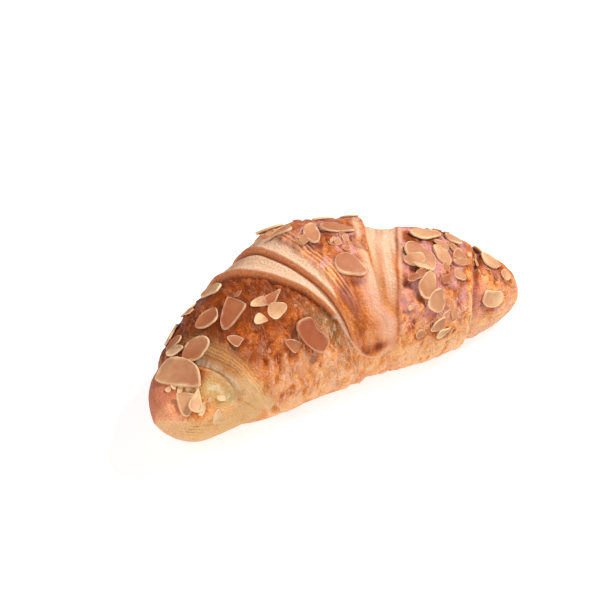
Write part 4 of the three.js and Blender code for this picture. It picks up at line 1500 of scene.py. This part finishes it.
# %% [markdown]
# ## Drifts of chips
#
# The bits gather in drifts between the slices and thin out round them. Each drift has a middle, a spread
# and a number of bits, and a bit that would fall on a slice or a bare zone is left out. A particle
# system could strew them too, but its bits would have to be made real first.

# %% Drifts of chips
CHIP_SHARES = [0.3, 0.2, 0.2, 0.1, 0.2]
CHIP_SIZES, CHIP_THINNEST = (0.25, 1.0), 0.6
CHIP_RIMS, CHIP_TOASTS = (0.1, 0.8), (0.15, 1.0)
CHIP_TILT, CHIP_MOST_X, CHIP_CLEARANCE = 16.0, 77.0, 0.8
FULL_TURN = 360
Drift = namedtuple("Drift", "x angle spread_x spread_angle count")
DRIFTS = [
    Drift(-6, 80, 6, 6, 12), Drift(3, 74, 6, 5, 9), Drift(45, 76, 7, 6, 18), Drift(51, 66, 5, 7, 9),
    Drift(40, 50, 8, 7, 8), Drift(36, 8, 6, 8, 9), Drift(66, 56, 5, 12, 12), Drift(-71, 30, 5, 8, 4),
    Drift(-38, 58, 7, 7, 12), Drift(-26, 10, 4, 5, 5), Drift(-60, 84, 8, 7, 12), Drift(-74, 84, 4, 8, 8),
    Drift(-30, 122, 20, 16, 14), Drift(30, 122, 20, 16, 14),
    Drift(62, 115, 8, 14, 8), Drift(-66, 115, 7, 14, 8),
]

bodies = []
for drift in DRIFTS:
    for kind in lay_draw.choice(list(CHIP_KINDS), drift.count, p=CHIP_SHARES):
        points, faces, rim = chips[kind]
        size = lay_draw.uniform(*CHIP_SIZES)
        x, angle = lay_draw.normal((drift.x, drift.angle), (drift.spread_x, drift.spread_angle))
        x = np.clip(x, -CHIP_MOST_X, CHIP_MOST_X)
        degrees_per_mm = local_frame(x, angle)[-1]
        clearance = min(outside_of(flake, x, angle, degrees_per_mm) for flake in flakes)
        if clearance < CHIP_CLEARANCE or on_bare_zone(x, angle):
            continue
        turn = lay_draw.uniform(0, FULL_TURN)
        chip = Flake(x, angle, size * CHIP_LENGTH, size * CHIP_LENGTH, turn, kind, 0)
        sized = points * (size, size, CHIP_THINNEST + (1 - CHIP_THINNEST) * size)
        laid, _ = lay_slice(sized, chip, CHIP_TILT)
        pale_rim = rim * lay_draw.uniform(*CHIP_RIMS)
        bodies.append((laid, faces, {"rim": pale_rim, "toast": lay_draw.uniform(*CHIP_TOASTS)}))
chip_piece = joined_piece("almond_chips", bodies)
chip_piece.data.materials.append(almond_material)
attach(chip_piece, "root")
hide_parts("croissant")
print("almond_chips:", len(bodies), "bits,", len(chip_piece.data.polygons), "faces")

# %% [markdown]
# ## Floor and light
#
# The croissant lies on a plain white table that glows a little, as a light table does: it lifts the
# shade under the roll, so the low front stays bright. A soft key light stands high on the right, and a
# broad, weaker one fills in from the left in front. A picture of a studio could light the scene as well,
# but two lamps are easier to move.

# %% Floor and light
FLOOR_SIZE, FLOOR_GREY, FLOOR_ROUGHNESS, FLOOR_GLOW = 6, (0.42, 0.42, 0.42, 1), 0.9, 0.74
WHITE, SKY_STRENGTH = (1, 1, 1, 1), 0.22
LIGHTS_AIM = Vector((0, 0, 0.02))

bpy.ops.object.select_all(action="DESELECT")
bpy.ops.mesh.primitive_plane_add(size=FLOOR_SIZE)
floor = bpy.context.object
floor.name = "floor"
tree, floor_material = new_material("floor")
shader = tree.nodes["Principled BSDF"]
shader.inputs["Base Color"].default_value = FLOOR_GREY
shader.inputs["Roughness"].default_value = FLOOR_ROUGHNESS
shader.inputs["Emission Color"].default_value = WHITE
shader.inputs["Emission Strength"].default_value = FLOOR_GLOW
floor.data.materials.append(floor_material)

world = bpy.data.worlds.new("studio")
bpy.context.scene.world = world
world.use_nodes = True
sky = world.node_tree.nodes["Background"]
sky.inputs["Color"].default_value = WHITE
sky.inputs["Strength"].default_value = SKY_STRENGTH
bpy.context.scene.view_settings.view_transform = "Standard"


def add_softbox(name, place, size, power):
    bpy.ops.object.light_add(type="AREA", location=place)
    light = bpy.context.object
    light.name = name
    light.data.shape = "DISK"
    light.data.size = size
    light.data.energy = power
    light.rotation_euler = (LIGHTS_AIM - Vector(place)).to_track_quat("-Z", "Y").to_euler()
    print(name, "light of", power, "watts at", place)


add_softbox("key", place=(0.65, -0.05, 0.85), size=0.25, power=13)
add_softbox("fill", place=(-0.7, -0.6, 0.7), size=0.9, power=7.5)

# %% [markdown]
# ## The camera
#
# The camera looks down on the croissant's front from the left, from 0.7 m away and through a long lens.
# It could be set by eye in the viewport. Here its direction is two angles, because they are easy to
# change one at a time.

# %% Camera
AZIMUTH, ELEVATION, DISTANCE = math.radians(-27), math.radians(34), 0.7
AIM = (Vector((-10.3, 6.9, 27.2)) + Vector(SHIFT)) * MM
LENS = 108.7
back = Vector((
    math.sin(AZIMUTH) * math.cos(ELEVATION),
    -math.cos(AZIMUTH) * math.cos(ELEVATION),
    math.sin(ELEVATION),
))
bpy.ops.object.camera_add(location=AIM + back * DISTANCE)
camera = bpy.context.object
camera.rotation_euler = (-back).to_track_quat("-Z", "Y").to_euler()
camera.data.lens = LENS
bpy.context.scene.camera = camera
print("camera at", [round(value, 3) for value in camera.location])
